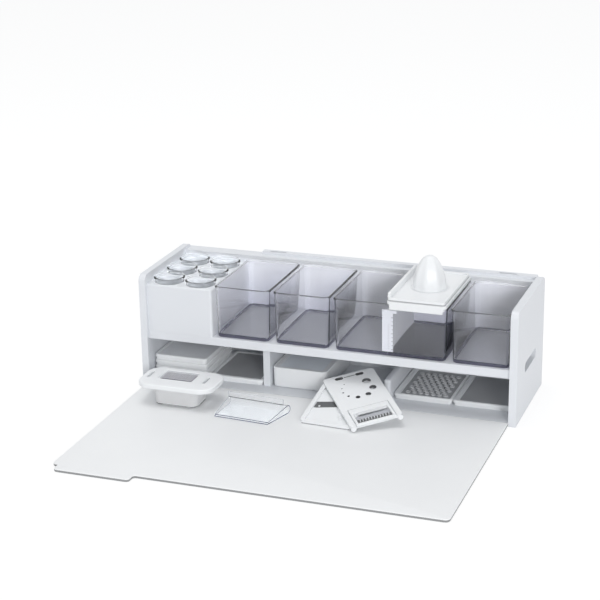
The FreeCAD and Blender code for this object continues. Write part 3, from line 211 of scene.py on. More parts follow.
def plastic(name, colour, roughness, tint=0.012, grain=900.0, bump=0.01 * MM, **sockets):
    """A moulded finish. colour is linear RGB, tint the share that the broad noise takes off."""
    material = bpy.data.materials.new(name)
    material.use_nodes = True
    tree = material.node_tree
    shader = tree.nodes["Principled BSDF"]
    place = tree.nodes.new("ShaderNodeTexCoord")

    def noise(scale, detail):
        node = tree.nodes.new("ShaderNodeTexNoise")
        node.inputs["Scale"].default_value = scale
        node.inputs["Detail"].default_value = detail
        tree.links.new(place.outputs["Object"], node.inputs["Vector"])
        return node.outputs["Fac"]

    shades = tree.nodes.new("ShaderNodeValToRGB")
    shades.color_ramp.elements[0].position = TINT_BAND[0]
    shades.color_ramp.elements[0].color = [c * (1 - tint) for c in colour] + [1]
    shades.color_ramp.elements[1].position = TINT_BAND[1]
    shades.color_ramp.elements[1].color = list(colour) + [1]
    tree.links.new(noise(TINT_NOISE, 2.0), shades.inputs["Fac"])
    tree.links.new(shades.outputs["Color"], shader.inputs["Base Color"])
    gloss = tree.nodes.new("ShaderNodeMapRange")
    gloss.inputs["To Min"].default_value = roughness * (1 - GLOSS_SPREAD)
    gloss.inputs["To Max"].default_value = roughness * (1 + GLOSS_SPREAD)
    tree.links.new(noise(GLOSS_NOISE, 3.0), gloss.inputs["Value"])
    tree.links.new(gloss.outputs["Result"], shader.inputs["Roughness"])
    if bump:
        relief = tree.nodes.new("ShaderNodeBump")
        relief.inputs["Strength"].default_value = BUMP_STRENGTH
        relief.inputs["Distance"].default_value = bump
        tree.links.new(noise(grain, 2.0), relief.inputs["Height"])
        tree.links.new(relief.outputs["Normal"], shader.inputs["Normal"])
    for socket, value in sockets.items():
        shader.inputs[socket.replace("_", " ")].default_value = value
    return material


print("noise scales:", TINT_NOISE, GLOSS_NOISE)

# %% [markdown]
# Clear plastic would block the lamps, because light bent through it is slow to find by chance. A
# shadow ray therefore passes straight through, tinted a little, so what stands in a bin stays lit.

# %% Clear plastic
PLASTIC_BEND = 1.49      # refractive index of most clear and white plastics


def clear(name, colour, roughness, passes, bend=PLASTIC_BEND, **sockets):
    """A see-through finish. passes is the colour of the lamp light that it lets through."""
    material = plastic(name, colour, roughness, tint=0.01, bump=0, IOR=bend, **sockets)
    tree = material.node_tree
    path = tree.nodes.new("ShaderNodeLightPath")
    through = tree.nodes.new("ShaderNodeBsdfTransparent")
    through.inputs["Color"].default_value = list(passes) + [1]
    mix = tree.nodes.new("ShaderNodeMixShader")
    tree.links.new(path.outputs["Is Shadow Ray"], mix.inputs[0])
    tree.links.new(tree.nodes["Principled BSDF"].outputs["BSDF"], mix.inputs[1])
    tree.links.new(through.outputs["BSDF"], mix.inputs[2])
    tree.links.new(mix.outputs["Shader"], tree.nodes["Material Output"].inputs["Surface"])
    return material


print("clear plastic bends light by", PLASTIC_BEND)

# %% [markdown]
# The housing and board are satin white, the tools a little glossier. The bins are clear plastic
# with a smoke tint, and their feet look darker, because there the eye looks through more of it.

# %% Finishes
finish = {
    "housing_white": plastic("housing_white", (0.76, 0.78, 0.815), 0.42, IOR=PLASTIC_BEND),
    "board_white": plastic("board_white", (0.885, 0.895, 0.905), 0.40, grain=1600.0, bump=0.02 * MM,
                           IOR=PLASTIC_BEND),
    # painted shade: a dark grey for the board's lower edge, standing for the shadow under its rim
    "board_edge_shade": plastic("board_edge_shade", (0.30, 0.305, 0.31), 0.55, tint=0.05, IOR=PLASTIC_BEND),
    "tool_white": plastic("tool_white", (0.86, 0.875, 0.89), 0.30, IOR=PLASTIC_BEND),
    "insert_grey": plastic("insert_grey", (0.39, 0.395, 0.41), 0.38, tint=0.05, IOR=PLASTIC_BEND),
    "insert_pale": plastic("insert_pale", (0.86, 0.875, 0.90), 0.34, tint=0.03, IOR=PLASTIC_BEND),
    "insert_mid": plastic("insert_mid", (0.50, 0.51, 0.53), 0.38, tint=0.04, IOR=PLASTIC_BEND),
    "insert_lid": plastic("insert_lid", (0.87, 0.91, 0.96), 0.30, tint=0.04, IOR=PLASTIC_BEND),
    "smoke_clear": clear("smoke_clear", (0.95, 0.95, 0.965), 0.03, (0.90, 0.90, 0.92),
                         Transmission_Weight=1.0),
    "smoke_foot": clear("smoke_foot", (0.12, 0.12, 0.18), 0.08, (0.5, 0.5, 0.55),
                        Transmission_Weight=0.6),
    "cup_clear": clear("cup_clear", (0.985, 0.99, 0.995), 0.02, (0.95, 0.96, 0.97), bend=1.22,
                       Transmission_Weight=1.0),
    "stand_edge": clear("stand_edge", (0.11, 0.13, 0.24), 0.08, (0.6, 0.62, 0.7),
                        Transmission_Weight=0.35),
    "cup_milky": clear("cup_milky", (0.90, 0.905, 0.915), 0.30, (0.6, 0.6, 0.6),
                       Transmission_Weight=0.4),
    "blade_steel": plastic("blade_steel", (0.56, 0.57, 0.60), 0.28, tint=0.12, grain=2500.0, Metallic=1.0),
    "blade_light": plastic("blade_light", (0.74, 0.74, 0.79), 0.25, tint=0.08, Metallic=0.25),
    # dark steel for the blades, and painted shade on the hole walls, in the slot and under the grater plate
    "blade_dark_and_shade": plastic("blade_dark_and_shade", (0.17, 0.175, 0.18), 0.35, tint=0.15, Metallic=0.6),
    "screw_steel": plastic("screw_steel", (0.45, 0.45, 0.46), 0.35, tint=0.1, Metallic=1.0),
    "mark_ink": plastic("mark_ink", (0.16, 0.17, 0.19), 0.5, tint=0.1),
    "foot_rubber": plastic("foot_rubber", (0.06, 0.062, 0.068), 0.75, tint=0.15),
}
print("finishes:", sorted(finish))

# %% [markdown]
# ## Building blocks
# Almost every tray, bin and cup here is one section carried round a rounded rectangle, which is how
# its mould is cut too. A circle is the same thing with corners as large as they can be. The helper
# takes the section as a few corners, rounds each one, and lofts rings of points between them. That
# gives clean quads with real rounded edges, and no bevel has to guess where they go.

# %% Section helpers
LEAST_RADIUS = 0.3 * MM  # a ring's corner never gets sharper than this


def ease(corners, closed, steps=3):
    """Rounds a section. Each corner is (inset, height, cut), and cut is how far back it starts."""
    path = []
    for i, (inset, height, cut) in enumerate(corners):
        if not cut or (not closed and i in (0, len(corners) - 1)):
            path.append((inset, height))
            continue
        here = Vector((inset, height))
        before = (Vector(corners[i - 1][:2]) - here).normalized() * cut + here
        after = (Vector(corners[(i + 1) % len(corners)][:2]) - here).normalized() * cut + here
        for step in range(steps + 1):
            t = step / steps
            path.append(tuple(before * (1 - t) ** 2 + here * (2 * t * (1 - t)) + after * t * t))
    return path


def ring(rect, inset, height, steps):
    """One level ring of points: the rounded rectangle (x0, x1, y0, y1, radius), moved inwards."""
    x0, x1, y0, y1, radius = rect
    r = max(radius - inset, LEAST_RADIUS)
    centres = ((x1 - inset - r, y0 + inset + r), (x1 - inset - r, y1 - inset - r),
               (x0 + inset + r, y1 - inset - r), (x0 + inset + r, y0 + inset + r))
    points = []
    for corner, (cx, cy) in enumerate(centres):
        for step in range(steps + 1):
            turn = math.radians(90 * (corner - 1) + 90 * step / steps)
            points.append((cx + r * math.cos(turn), cy + r * math.sin(turn), height))
    return points


def as_object(name, mesh, smooth=40):
    """An object made of a bmesh. Edges sharper than smooth degrees stay sharp."""
    data = bpy.data.meshes.new(name)
    bmesh.ops.recalc_face_normals(mesh, faces=mesh.faces)
    mesh.to_mesh(data)
    mesh.free()
    data.polygons.foreach_set("use_smooth", [True] * len(data.polygons))
    data.set_sharp_from_angle(angle=math.radians(smooth))
    made = bpy.data.objects.new(name, data)
    bpy.context.scene.collection.objects.link(made)
    return made


def carried(name, rect, corners, closed=False, steps=6, broad=(1.0, 0.0)):
    """The solid that a section makes when it is carried round a rounded rectangle. Insets past
    broad's first number move in by its second number more on the left side."""
    mesh = bmesh.new()
    rings = []
    for inset, height in ease(corners, closed):
        x0, x1, y0, y1, radius = rect
        if inset > broad[0]:
            x0 += broad[1]
        rings.append([mesh.verts.new(p) for p in ring((x0, x1, y0, y1, radius), inset, height, steps)])
    pairs = list(zip(rings, rings[1:]))
    if closed:
        pairs.append((rings[-1], rings[0]))
    for low, high in pairs:
        for i in range(len(low)):
            j = (i + 1) % len(low)
            mesh.faces.new((low[i], low[j], high[j], high[i]))
    if not closed:
        mesh.faces.new(list(reversed(rings[0])))
        mesh.faces.new(rings[-1])
    return as_object(name, mesh)


def joined(name, pieces):
    """One object made of several meshes."""
    mesh = bmesh.new()
    for piece in pieces:
        mesh.from_mesh(piece.data)
        data = piece.data
        bpy.data.objects.remove(piece)
        bpy.data.meshes.remove(data)
    return as_object(name, mesh)


def span(node, radius):
    """A node's rounded rectangle and its lowest and highest height."""
    low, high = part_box(node)
    return (low[0], high[0], low[1], high[1], radius), low[2], high[2]


def dress(piece, node, material=None):
    """Rides a piece on its node's body, stands it for the node and gives it the node's finish."""
    piece.data.materials.append(finish[material or slot_of_node[node]])
    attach(piece, body_of_node[node])
    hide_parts(node)
    return piece


def trim(piece, node, material):
    """Adds a small extra piece beside the one that stands for the node."""
    piece.data.materials.append(finish[material])
    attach(piece, body_of_node[node])
    return piece


print("a ring in 6 steps has", len(ring((0, 1, 0, 1, 0.1), 0, 0, 6)), "points")

# %% [markdown]
# Panels and plates with odd outlines keep their CAD shape. A copy of the CAD mesh is cleaned of the
# triangles that lie in one plane, and a bevel modifier then breaks its sharp edges, because no
# moulded edge is sharp and the thin highlight along it is what makes plastic look real.

# %% Eased copies of CAD nodes
WELD = 0.004 * MM        # points nearer than this are one point
FLAT = math.radians(0.6)     # faces that differ less than this become one
BEVEL_FROM = math.radians(35)


def eased(node, width, segments=2):
    """A copy of a CAD node with its sharp edges broken by width."""
    source = frame["nodes"][node]
    mesh = bmesh.new()
    mesh.from_mesh(source.data)
    mesh.transform(source.matrix_world)
    bmesh.ops.remove_doubles(mesh, verts=mesh.verts, dist=WELD)
    bmesh.ops.dissolve_limit(mesh, angle_limit=FLAT, verts=mesh.verts, edges=mesh.edges)
    piece = as_object(node + "_eased", mesh)
    bevel = piece.modifiers.new("edges", "BEVEL")
    bevel.width = width
    bevel.segments = segments
    bevel.limit_method = "ANGLE"
    bevel.angle_limit = BEVEL_FROM
    bevel.harden_normals = True
    return dress(piece, node)


print("CAD nodes that a copy can start from:", len(frame["nodes"]))

# %% [markdown]
# ## The housing
# The end panels carry hand slots, and everything else of the housing sits between them. All of it
# is plain moulded sheet, so eased copies of the CAD nodes are the right thing here.

# %% Housing
HOUSING_EDGES = (
    # nodes, width of the broken edge in millimetres, segments
    (("left_end_panel", "right_end_panel"), 0.8, 3),
    (("rear_wall", "shelf", "divider_left", "divider_right"), 0.5, 2),
    (("floor_panel",), 0.3, 2),
    (("cup_block",), 0.6, 3),
)
for nodes, edge_width, segments in HOUSING_EDGES:
    for node in nodes:
        eased(node, edge_width * MM, segments)
print("housing pieces:", sum(len(row[0]) for row in HOUSING_EDGES))

# %% [markdown]
# ## The board
# The board is one sheet of plastic with a thin line where it bends. Its fold is a chain of three
# joints in the model, so the sheet is cut along the middle of each slat, where two neighbours turn
# alike. At rest the cuts are closed and can't be seen. The lower half of the edge is painted dark
# grey, a painted shade that draws the board's outline on the white ground.

# %% Board
BOARD_EDGE = 1.3 * MM
EDGE_SHADE_TOP = 2.7 * MM     # the painted shade along the board's lower edge reaches this high
BOARD_CORNER = 9.0 * MM
TAB_LEFT = -297.0 * MM
TAB_RIGHT = -173.0 * MM
TAB_OUT = 17.0 * MM
TAB_CORNER = 7.0 * MM
TAB_LEFT_ROOT = 2.0 * MM     # the inside corners where the tab meets the board's far edge
TAB_RIGHT_ROOT = 5.0 * MM
HINGE_CORNER = 1.0 * MM
FOLD_STEPS = 10
NEARLY = 1e-7            # metres, for points that lie in one plane
CUT_NEAR = 0.1 * MM      # faces nearer to a cut than this are the cut itself
EDGE_FACE = 0.9          # a face whose normal rises less than this belongs to the edge

joint_place = {joint["name"]: joint["pos_m"] for joint in frame["joints"] if "pos_m" in joint}
folds = [joint_place["fold_%d" % number][1] for number in (1, 2, 3)]
board_low, board_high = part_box("board_top")[0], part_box("board_front")[1]


def rounded_corners(points, steps=5):
    """A level outline. Each corner is (x, y, radius)."""
    path = []
    for i, (x, y, radius) in enumerate(points):
        here = Vector((x, y))
        before = Vector(points[i - 1][:2]) - here
        after = Vector(points[(i + 1) % len(points)][:2]) - here
        start, end = here + before.normalized() * radius, here + after.normalized() * radius
        for step in range(steps + 1):
            t = step / steps
            path.append(start * (1 - t) ** 2 + here * (2 * t * (1 - t)) + end * t * t)
    return path


def board_sheet():
    """The whole sheet, with rounded edges, before it is cut."""
    x0, x1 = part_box("board_front")[0][0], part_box("board_front")[1][0]
    far, near = board_low[1], board_high[1]
    edge = far + TAB_OUT
    outline = rounded_corners([
        (x0, near, HINGE_CORNER), (x0, edge, BOARD_CORNER), (TAB_LEFT, edge, TAB_LEFT_ROOT),
        (TAB_LEFT, far, TAB_CORNER), (TAB_RIGHT, far, TAB_CORNER), (TAB_RIGHT, edge, TAB_RIGHT_ROOT),
        (x1, edge, BOARD_CORNER), (x1, near, HINGE_CORNER)])
    mesh = bmesh.new()
    base = [mesh.verts.new((p.x, p.y, 0)) for p in outline]
    bottom = mesh.faces.new(base)
    raised = bmesh.ops.extrude_face_region(mesh, geom=[bottom])
    for vert in raised["geom"]:
        if isinstance(vert, bmesh.types.BMVert):
            vert.co.z = board_high[2]
    bmesh.ops.recalc_face_normals(mesh, faces=mesh.faces)
    rims = [e for e in mesh.edges if abs(e.verts[0].co.z - e.verts[1].co.z) < NEARLY]
    bmesh.ops.bevel(mesh, geom=rims, offset=BOARD_EDGE, segments=4, profile=0.5, affect="EDGES")
    return mesh


def board_piece(name, y_low, y_high, joint):
    """The part of the sheet between two cuts, with fine rows of points near the joint."""
    mesh = board_sheet()
    fold = joint_place[joint][1]
    reach = (folds[0] - folds[1]) / 2
    for y, keep in ((y_low, -1), (y_high, 1)):
        if y is None:
            continue
        geometry = mesh.verts[:] + mesh.edges[:] + mesh.faces[:]
        bmesh.ops.bisect_plane(mesh, geom=geometry, plane_co=(0, y, 0), plane_no=(0, keep, 0),
                               clear_outer=True, dist=NEARLY)
        cut = [e for e in mesh.edges if all(abs(v.co.y - y) < 10 * NEARLY for v in e.verts)]
        bmesh.ops.contextual_create(mesh, geom=cut)
    for step in range(1, FOLD_STEPS):
        y = fold - reach + 2 * reach * step / FOLD_STEPS
        geometry = mesh.verts[:] + mesh.edges[:] + mesh.faces[:]
        bmesh.ops.bisect_plane(mesh, geom=geometry, plane_co=(0, y, 0), plane_no=(0, 1, 0),
                               dist=NEARLY)
    piece = as_object(name, mesh)
    piece.data.materials.append(finish["board_white"])
    piece.data.materials.append(finish["board_edge_shade"])
    # faces low on the board's edge take the painted shade, all but the faces of the cuts
    for face in piece.data.polygons:
        at_cut = any(y is not None and abs(face.center.y - y) < CUT_NEAR for y in (y_low, y_high))
        if face.center.z < EDGE_SHADE_TOP and abs(face.normal.z) < EDGE_FACE and not at_cut:
            face.material_index = 1
    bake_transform(piece)
    return piece


middle_1 = (folds[0] + folds[1]) / 2
middle_2 = (folds[1] + folds[2]) / 2
near_piece = board_piece("board_near", middle_1, None, "fold_1")
fold_piece = board_piece("board_fold", middle_2, middle_1, "fold_2")
far_piece = board_piece("board_far", None, middle_2, "fold_3")
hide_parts("board_front", "fold_slat_1")
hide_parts("fold_slat_2")
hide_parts("board_top")
print("board folds at", ["%.4f" % y for y in folds])

# %% [markdown]
# ## Bins
# A clear bin shows both faces of its wall, so the wall needs its real thickness, a rounded foot and
# a rim that turns out. The foot gets the darker tint.

# %% Bins
BIN_CORNER = 12.0 * MM
RIM_OUT = 1.5 * MM
RIM_HIGH = 3.0 * MM
WALL = 2.0 * MM
TAPER = 2.0 * MM
BIN_FLOOR = 2.5 * MM
FOOT_HIGH = 5.5 * MM
FOOT_FACE = 0.5          # a face whose normal rises less than this can belong to the dark foot
FLOOR_IN = 30.0 * MM     # where the section starts and ends, inside the floor


def clear_bin(node):
    rect, low, high = span(node, BIN_CORNER)
    foot = RIM_OUT + TAPER
    lean = TAPER * FOOT_HIGH / (high - low)
    corners = (
        (FLOOR_IN, low, 0), (foot, low, 3.0 * MM), (foot - lean, low + FOOT_HIGH, 0),
        (RIM_OUT, high - RIM_HIGH, 0.4 * MM), (0, high - RIM_HIGH, 0.5 * MM), (0, high, 1.0 * MM),
        (RIM_OUT + WALL, high, 0.8 * MM), (foot + WALL, low + BIN_FLOOR, 4.0 * MM),
        (FLOOR_IN, low + BIN_FLOOR, 0))
    piece = dress(carried(node + "_shell", rect, corners), node)
    piece.data.materials.append(finish["smoke_foot"])
    x0, x1, y0, y1, radius = rect
    for face in piece.data.polygons:
        x, y, z = face.center
        edge = min(x - x0, x1 - x, y - y0, y1 - y)
        if z < low + FOOT_HIGH and edge < 2 * foot and face.normal.z < FOOT_FACE:
            face.material_index = 1
    return piece


BINS = ("bin_1", "bin_2", "wide_bin", "bin_4")
for node in BINS:
    clear_bin(node)
print("bins:", BINS)

# %% [markdown]
# ## Cups
# A cup is turned plastic with a thick rim. It could be a spun profile, but a circle is only a
# rounded rectangle whose corners are as round as they can be, so the same helper makes it.

# %% Cups
CUPS = 6
CUP_RIM_OUT = 1.4 * MM
CUP_RIM_HIGH = 3.0 * MM
CUP_FOOT_IN = 3.5 * MM
CUP_WALL = 1.5 * MM
CUP_FLOOR = 2.0 * MM
CUP_FLOOR_IN = 12.0 * MM


def clear_cup(node):
    near_corner, far_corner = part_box(node)
    rect, low, high = span(node, (far_corner[0] - near_corner[0]) / 2)
    corners = (
        (CUP_FLOOR_IN, low, 0), (CUP_FOOT_IN, low, 2 * MM),
        (CUP_RIM_OUT, high - CUP_RIM_HIGH, 0.4 * MM), (0, high - CUP_RIM_HIGH, 0.5 * MM),
        (0, high, 1.2 * MM), (CUP_RIM_OUT + CUP_WALL, high, 0.8 * MM),
        (CUP_FOOT_IN + CUP_WALL, low + CUP_FLOOR, 2.5 * MM), (CUP_FLOOR_IN, low + CUP_FLOOR, 0))
    return dress(carried(node + "_shell", rect, corners, steps=12), node)


for number in range(1, CUPS + 1):
    clear_cup("cup_%d" % number)
print("cups:", CUPS)

# %% [markdown]
# ## Insert trays
# Each insert is a white frame with rounded edges round a plate, which is grey, or pale in the pile
# of four. The frame's section runs round its opening, so it is a closed section, with the step that
# the plate rests on. A frame could be cut from a slab, but a carried section keeps its edges round.

# %% Insert trays
INSERTS = ("stack_1", "stack_2", "stack_3", "stack_4", "low", "coarse", "plain")
RIGHT_BAY = ("coarse", "plain")
FRAME_CORNER = 7.0 * MM
RIM = 6.5 * MM
NARROW_RIM = 4.5 * MM
BROADER = 6.0 * MM       # what the left rim of a right-bay frame has more than its others
LEDGE = 3.0 * MM
SEAT = 3.0 * MM
FOOT_IN = 1.7 * MM       # how far the frame's lower part stands back under its rim
OPENING_FROM = 0.7       # section corners further in than this share of the rim belong to the opening
STEP_SHARE = 0.42        # where that lower part ends, as a share of the frame's height
BEAD_HALF = 0.5 * MM     # half the width of the bead on a broad rim
BEAD_HIGH = 0.5 * MM
BEAD_SUNK = 0.3 * MM     # a bead or collar starts this far inside the surface that it stands on
BEAD_IN = 5.0 * MM
BEAD_SHORT = 8.0 * MM    # how far the bead ends before the frame does


def insert_frame(node, rim, broader):
    rect, low, high = span(node, FRAME_CORNER)
    step = low + (high - low) * STEP_SHARE
    corners = (
        (FOOT_IN, low, 0.8 * MM), (FOOT_IN, step, 0.2 * MM), (0, step + 0.7 * MM, 0.5 * MM),
        (0, high, 2.0 * MM), (rim, high, 0.9 * MM), (rim, high - SEAT, 0),
        (rim + LEDGE, high - SEAT, 0), (rim + LEDGE, low, 0.3 * MM))
    opening = rim * OPENING_FROM
    return dress(carried(node + "_rim", rect, corners, closed=True, broad=(opening, broader)), node)


def rim_line(node):
    """A thin raised bead along the frame's broad left rim."""
    low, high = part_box(node)
    x = low[0] + BEAD_IN
    rect = (x - BEAD_HALF, x + BEAD_HALF, low[1] + BEAD_SHORT, high[1] - BEAD_SHORT, BEAD_HALF)
    base, crest = high[2] - BEAD_SUNK, high[2] + BEAD_HIGH
    middle = 0.9 * BEAD_HALF
    section = ((0, base, 0), (0, crest, 0.3 * MM), (middle, crest, 0), (middle, base, 0))
    trim(carried(node + "_bead", rect, section, steps=3), node, "tool_white")


for name in INSERTS:
    if name in RIGHT_BAY:
        insert_frame(name + "_frame", NARROW_RIM, BROADER)
        rim_line(name + "_frame")
    else:
        insert_frame(name + "_frame", RIM, 0)
    plate = eased(name + "_plate", 0.25 * MM)
    if name.startswith("stack"):
        plate.data.materials[0] = finish["insert_pale"]
print("inserts dressed:", len(INSERTS))

# %% [markdown]
# The coarse insert grates, so each of its holes has a raised collar with a sharp rim. A collar is a
# small section carried round a circle, and all of them go into one mesh, because they are one
# pressing. They follow the plate's own rows. They take a lighter grey than the plate, a painted
# highlight on their raised rims.

# %% Collars of the coarse insert
COLLAR_HIGH = 1.7 * MM
COLLAR_OUT = 1.2 * MM    # how far a collar's foot reaches round its hole
HOLE_R = 3.2 * MM
PITCH = 10.5 * MM
FIELD_IN = 4.5 * MM


def coarse_holes():
    low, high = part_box("coarse_plate")
    x0, x1 = low[0] + FIELD_IN, high[0] - FIELD_IN
    y0, y1 = low[1] + FIELD_IN, high[1] - FIELD_IN
    for row in range(int((y1 - y0) // PITCH)):
        for column in range(int((x1 - x0) // PITCH)):
            x = x0 + PITCH / 4 + HOLE_R + (PITCH / 2 if row % 2 else 0) + column * PITCH
            if x + HOLE_R < x1:
                yield x, y0 + PITCH * (row + 0.5)


def collar(x, y, plate_top):
    r = HOLE_R + COLLAR_OUT
    base, crest = plate_top - BEAD_SUNK, plate_top + COLLAR_HIGH
    section = ((0, base, 0), (0.5 * MM, crest, 0.2 * MM), (0.9 * MM, crest, 0.2 * MM),
               (COLLAR_OUT, base, 0))
    return carried("collar", (x - r, x + r, y - r, y + r, r), section, closed=True, steps=3)


collars = [collar(x, y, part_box("coarse_plate")[1][2]) for x, y in coarse_holes()]
print("collars:", len(collars))
# the collars' lighter grey is a painted highlight on their raised rims
trim(joined("coarse_collars", collars), "coarse_plate", "insert_mid")

# %% [markdown]
# ## Deep box
# The deep box is a tray with high walls and a flat lid that lies inside its rim. The lid's raised
# edge is plain white and its sunk middle a cooler white. Two carried sections that end in the
# middle of a floor make them both, and the lid's faces near its edge take the second finish.

# %% Deep box
BOX_CORNER = 9.0 * MM
BOX_WALL = 2.5 * MM
BOX_FLOOR = 2.0 * MM
SEAT_DEEP = 3.7 * MM     # how far the lid's seat lies under the box's rim
LID_CORNER = 6.5 * MM
LID_RIM = 7.7 * MM
LID_SLOPE = 0.6 * MM     # how far the step inside the lid's rim reaches
LID_SUNK = 0.7 * MM
WHITE_RIM = 7.5 * MM     # faces of the lid nearer to its edge than this are plain white


def deep_box():
    rect, low, high = span("deep_box", BOX_CORNER)
    seat, inside = high - SEAT_DEEP, low + BOX_FLOOR
    corners = (
        (FLOOR_IN, low, 0), (0.8 * MM, low, 3.0 * MM), (0, high, 1.6 * MM), (BOX_WALL, high, 0.7 * MM),
        (BOX_WALL, seat, 0), (2 * BOX_WALL, seat, 0.4 * MM), (2 * BOX_WALL, inside, 3.0 * MM),
        (FLOOR_IN, inside, 0))
    return dress(carried("deep_box_shell", rect, corners), "deep_box")


def deep_box_lid():
    rect, low, high = span("deep_box_lid", LID_CORNER)
    middle = high - LID_SUNK
    corners = (
        (FLOOR_IN, low, 0), (0, low, 0.3 * MM), (0, high, 0.6 * MM), (LID_RIM, high, 0.5 * MM),
        (LID_RIM + LID_SLOPE, middle, 0.5 * MM), (FLOOR_IN, middle, 0))
    piece = dress(carried("deep_box_cover", rect, corners), "deep_box_lid", material="insert_lid")
    piece.data.materials.append(finish["tool_white"])
    x0, x1, y0, y1, radius = rect
    for face in piece.data.polygons:
        x, y, z = face.center
        if min(x - x0, x1 - x, y - y0, y1 - y) < WHITE_RIM:
            face.material_index = 1
    return piece


deep_box()
deep_box_lid()
print("deep box lid rim", round(LID_RIM / MM, 1), "mm")

# %% [markdown]
# ## Juice press
# The press is three mouldings: a tray that catches the juice, a strainer tray with a fence along
# its left side, and the fluted reamer. The CAD solids have their real shapes, so each is eased.

# %% Juice press
# the grey band of painted shade between the juicer's trays
SHADE_BAND_HIGH = 1.3 * MM
SHADE_BAND_DEEP = 1.2 * MM
SHADE_BAND_OUT = 0.1 * MM
TRAY_CORNER = 5.0 * MM
TRAY_EDGE = 0.9 * MM
CONE_EDGE = 0.5 * MM


def juicer_shade_band():
    """A thin grey band of painted shade, for the shadow gap where the strainer tray sits on the base tray."""
    (x0, x1, y0, y1, radius), low, high = span("juicer_top_tray", TRAY_CORNER)
    rect = (x0 - SHADE_BAND_OUT, x1 + SHADE_BAND_OUT, y0 - SHADE_BAND_OUT, y1, radius + SHADE_BAND_OUT)
    crest = low + SHADE_BAND_HIGH
    section = ((0, low, 0), (0, crest, 0), (SHADE_BAND_DEEP, crest, 0), (SHADE_BAND_DEEP, low, 0))
    trim(carried("juicer_shade_band", rect, section, closed=True), "juicer_top_tray", "insert_grey")


juicer_shade_band()
eased("juicer_base_tray", TRAY_EDGE, segments=3)
eased("juicer_top_tray", TRAY_EDGE, segments=3)
eased("juicer_cone", CONE_EDGE)

# %% [markdown]
# ## Grater
# The grater's frame is a thick rounded slab with a raised rim round its steel plate. The plate is
# etched, so each of its cells is a small hole with one edge turned up as a tooth.

# %% Steel plate
RASP_MARGIN = 2.5 * MM
RASP_COLUMNS = 13
RASP_ROWS = 8
BAR_HALF = 0.95 * MM     # half the width of the steel between two holes
TOOTH_HIGH = 0.9 * MM
RASP_SHEET = 0.35 * MM


def rasp_plate(node):
    """A thin lattice: every cell is inset, its middle is removed and one side of it is raised."""
    low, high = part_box(node)
    x0, y0, z = low[0] + RASP_MARGIN, low[1] + RASP_MARGIN, high[2]
    step_x = (high[0] - low[0] - 2 * RASP_MARGIN) / RASP_COLUMNS
    step_y = (high[1] - low[1] - 2 * RASP_MARGIN) / RASP_ROWS
    mesh = bmesh.new()
    points = [[mesh.verts.new((x0 + i * step_x, y0 + j * step_y, z)) for i in range(RASP_COLUMNS + 1)]
              for j in range(RASP_ROWS + 1)]
    cells = [mesh.faces.new((points[j][i], points[j][i + 1], points[j + 1][i + 1], points[j + 1][i]))
             for j in range(RASP_ROWS) for i in range(RASP_COLUMNS)]
    bmesh.ops.inset_individual(mesh, faces=cells, thickness=BAR_HALF)
    for cell in cells:
        middle = cell.calc_center_median()
        for vert in cell.verts:
            if vert.co.y > middle.y:
                vert.co.z += TOOTH_HIGH
    bmesh.ops.delete(mesh, geom=cells, context="FACES_ONLY")
    piece = as_object(node + "_lattice", mesh)
    thick = piece.modifiers.new("sheet", "SOLIDIFY")
    thick.thickness = RASP_SHEET
    thick.offset = -1
    return piece


print("cells in the steel plate:", RASP_COLUMNS * RASP_ROWS)

# %% [markdown]
# The parts round the plate are sections too. A dark sheet of painted shade lies under the lattice,
# or its holes would show the pale cup. The cup itself is milky, with a clearer floor.

# %% Grater
PLATE_RIM_OUT = 2.6 * MM     # how far the rim round the plate reaches beyond it
PLATE_RIM_CORNER = 7.0 * MM
PLATE_RIM_W = 2.4 * MM
PLATE_RIM_SUNK = 0.4 * MM
HOLLOW_IN = 3.2 * MM
HOLLOW_UNDER = 0.5 * MM
HOLLOW_DEEP = 0.6 * MM
HOLLOW_FLOOR_IN = 8.0 * MM
GRATER_CUP_CORNER = 14.0 * MM
GRATER_CUP_TAPER = 2.4 * MM
GRATER_CUP_FOOT = 3.0 * MM
GRATER_CUP_WALL = 1.8 * MM
GRATER_CUP_FLOOR_IN = 20.0 * MM


def grater_rim():
    """The raised rim round the steel plate."""
    low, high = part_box("grater_plate")
    frame_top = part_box("grater_frame")[1][2]
    out = PLATE_RIM_OUT
    rect = (low[0] - out, high[0] + out, low[1] - out, high[1] + out, PLATE_RIM_CORNER)
    base, crest = frame_top - PLATE_RIM_SUNK, frame_top + BEAD_HIGH
    section = ((0, base, 0), (0.6 * MM, crest, 0.3 * MM), (PLATE_RIM_W - 0.5 * MM, crest, 0.3 * MM),
               (PLATE_RIM_W, base, 0))
    trim(carried("grater_rim", rect, section, closed=True), "grater_frame", "tool_white")


def hollow_shade():
    """A dark sheet of painted shade under the plate, for the shaded space seen through the etched cells."""
    low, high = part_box("grater_plate")
    rect = (low[0] + HOLLOW_IN, high[0] - HOLLOW_IN, low[1] + HOLLOW_IN, high[1] - HOLLOW_IN, 4 * MM)
    crest = low[2] - HOLLOW_UNDER
    base = crest - HOLLOW_DEEP
    section = ((HOLLOW_FLOOR_IN, base, 0), (0, base, 0), (0, crest, 0.1 * MM), (HOLLOW_FLOOR_IN, crest, 0))
    trim(carried("grater_hollow_shade", rect, section), "grater_plate", "blade_dark_and_shade")


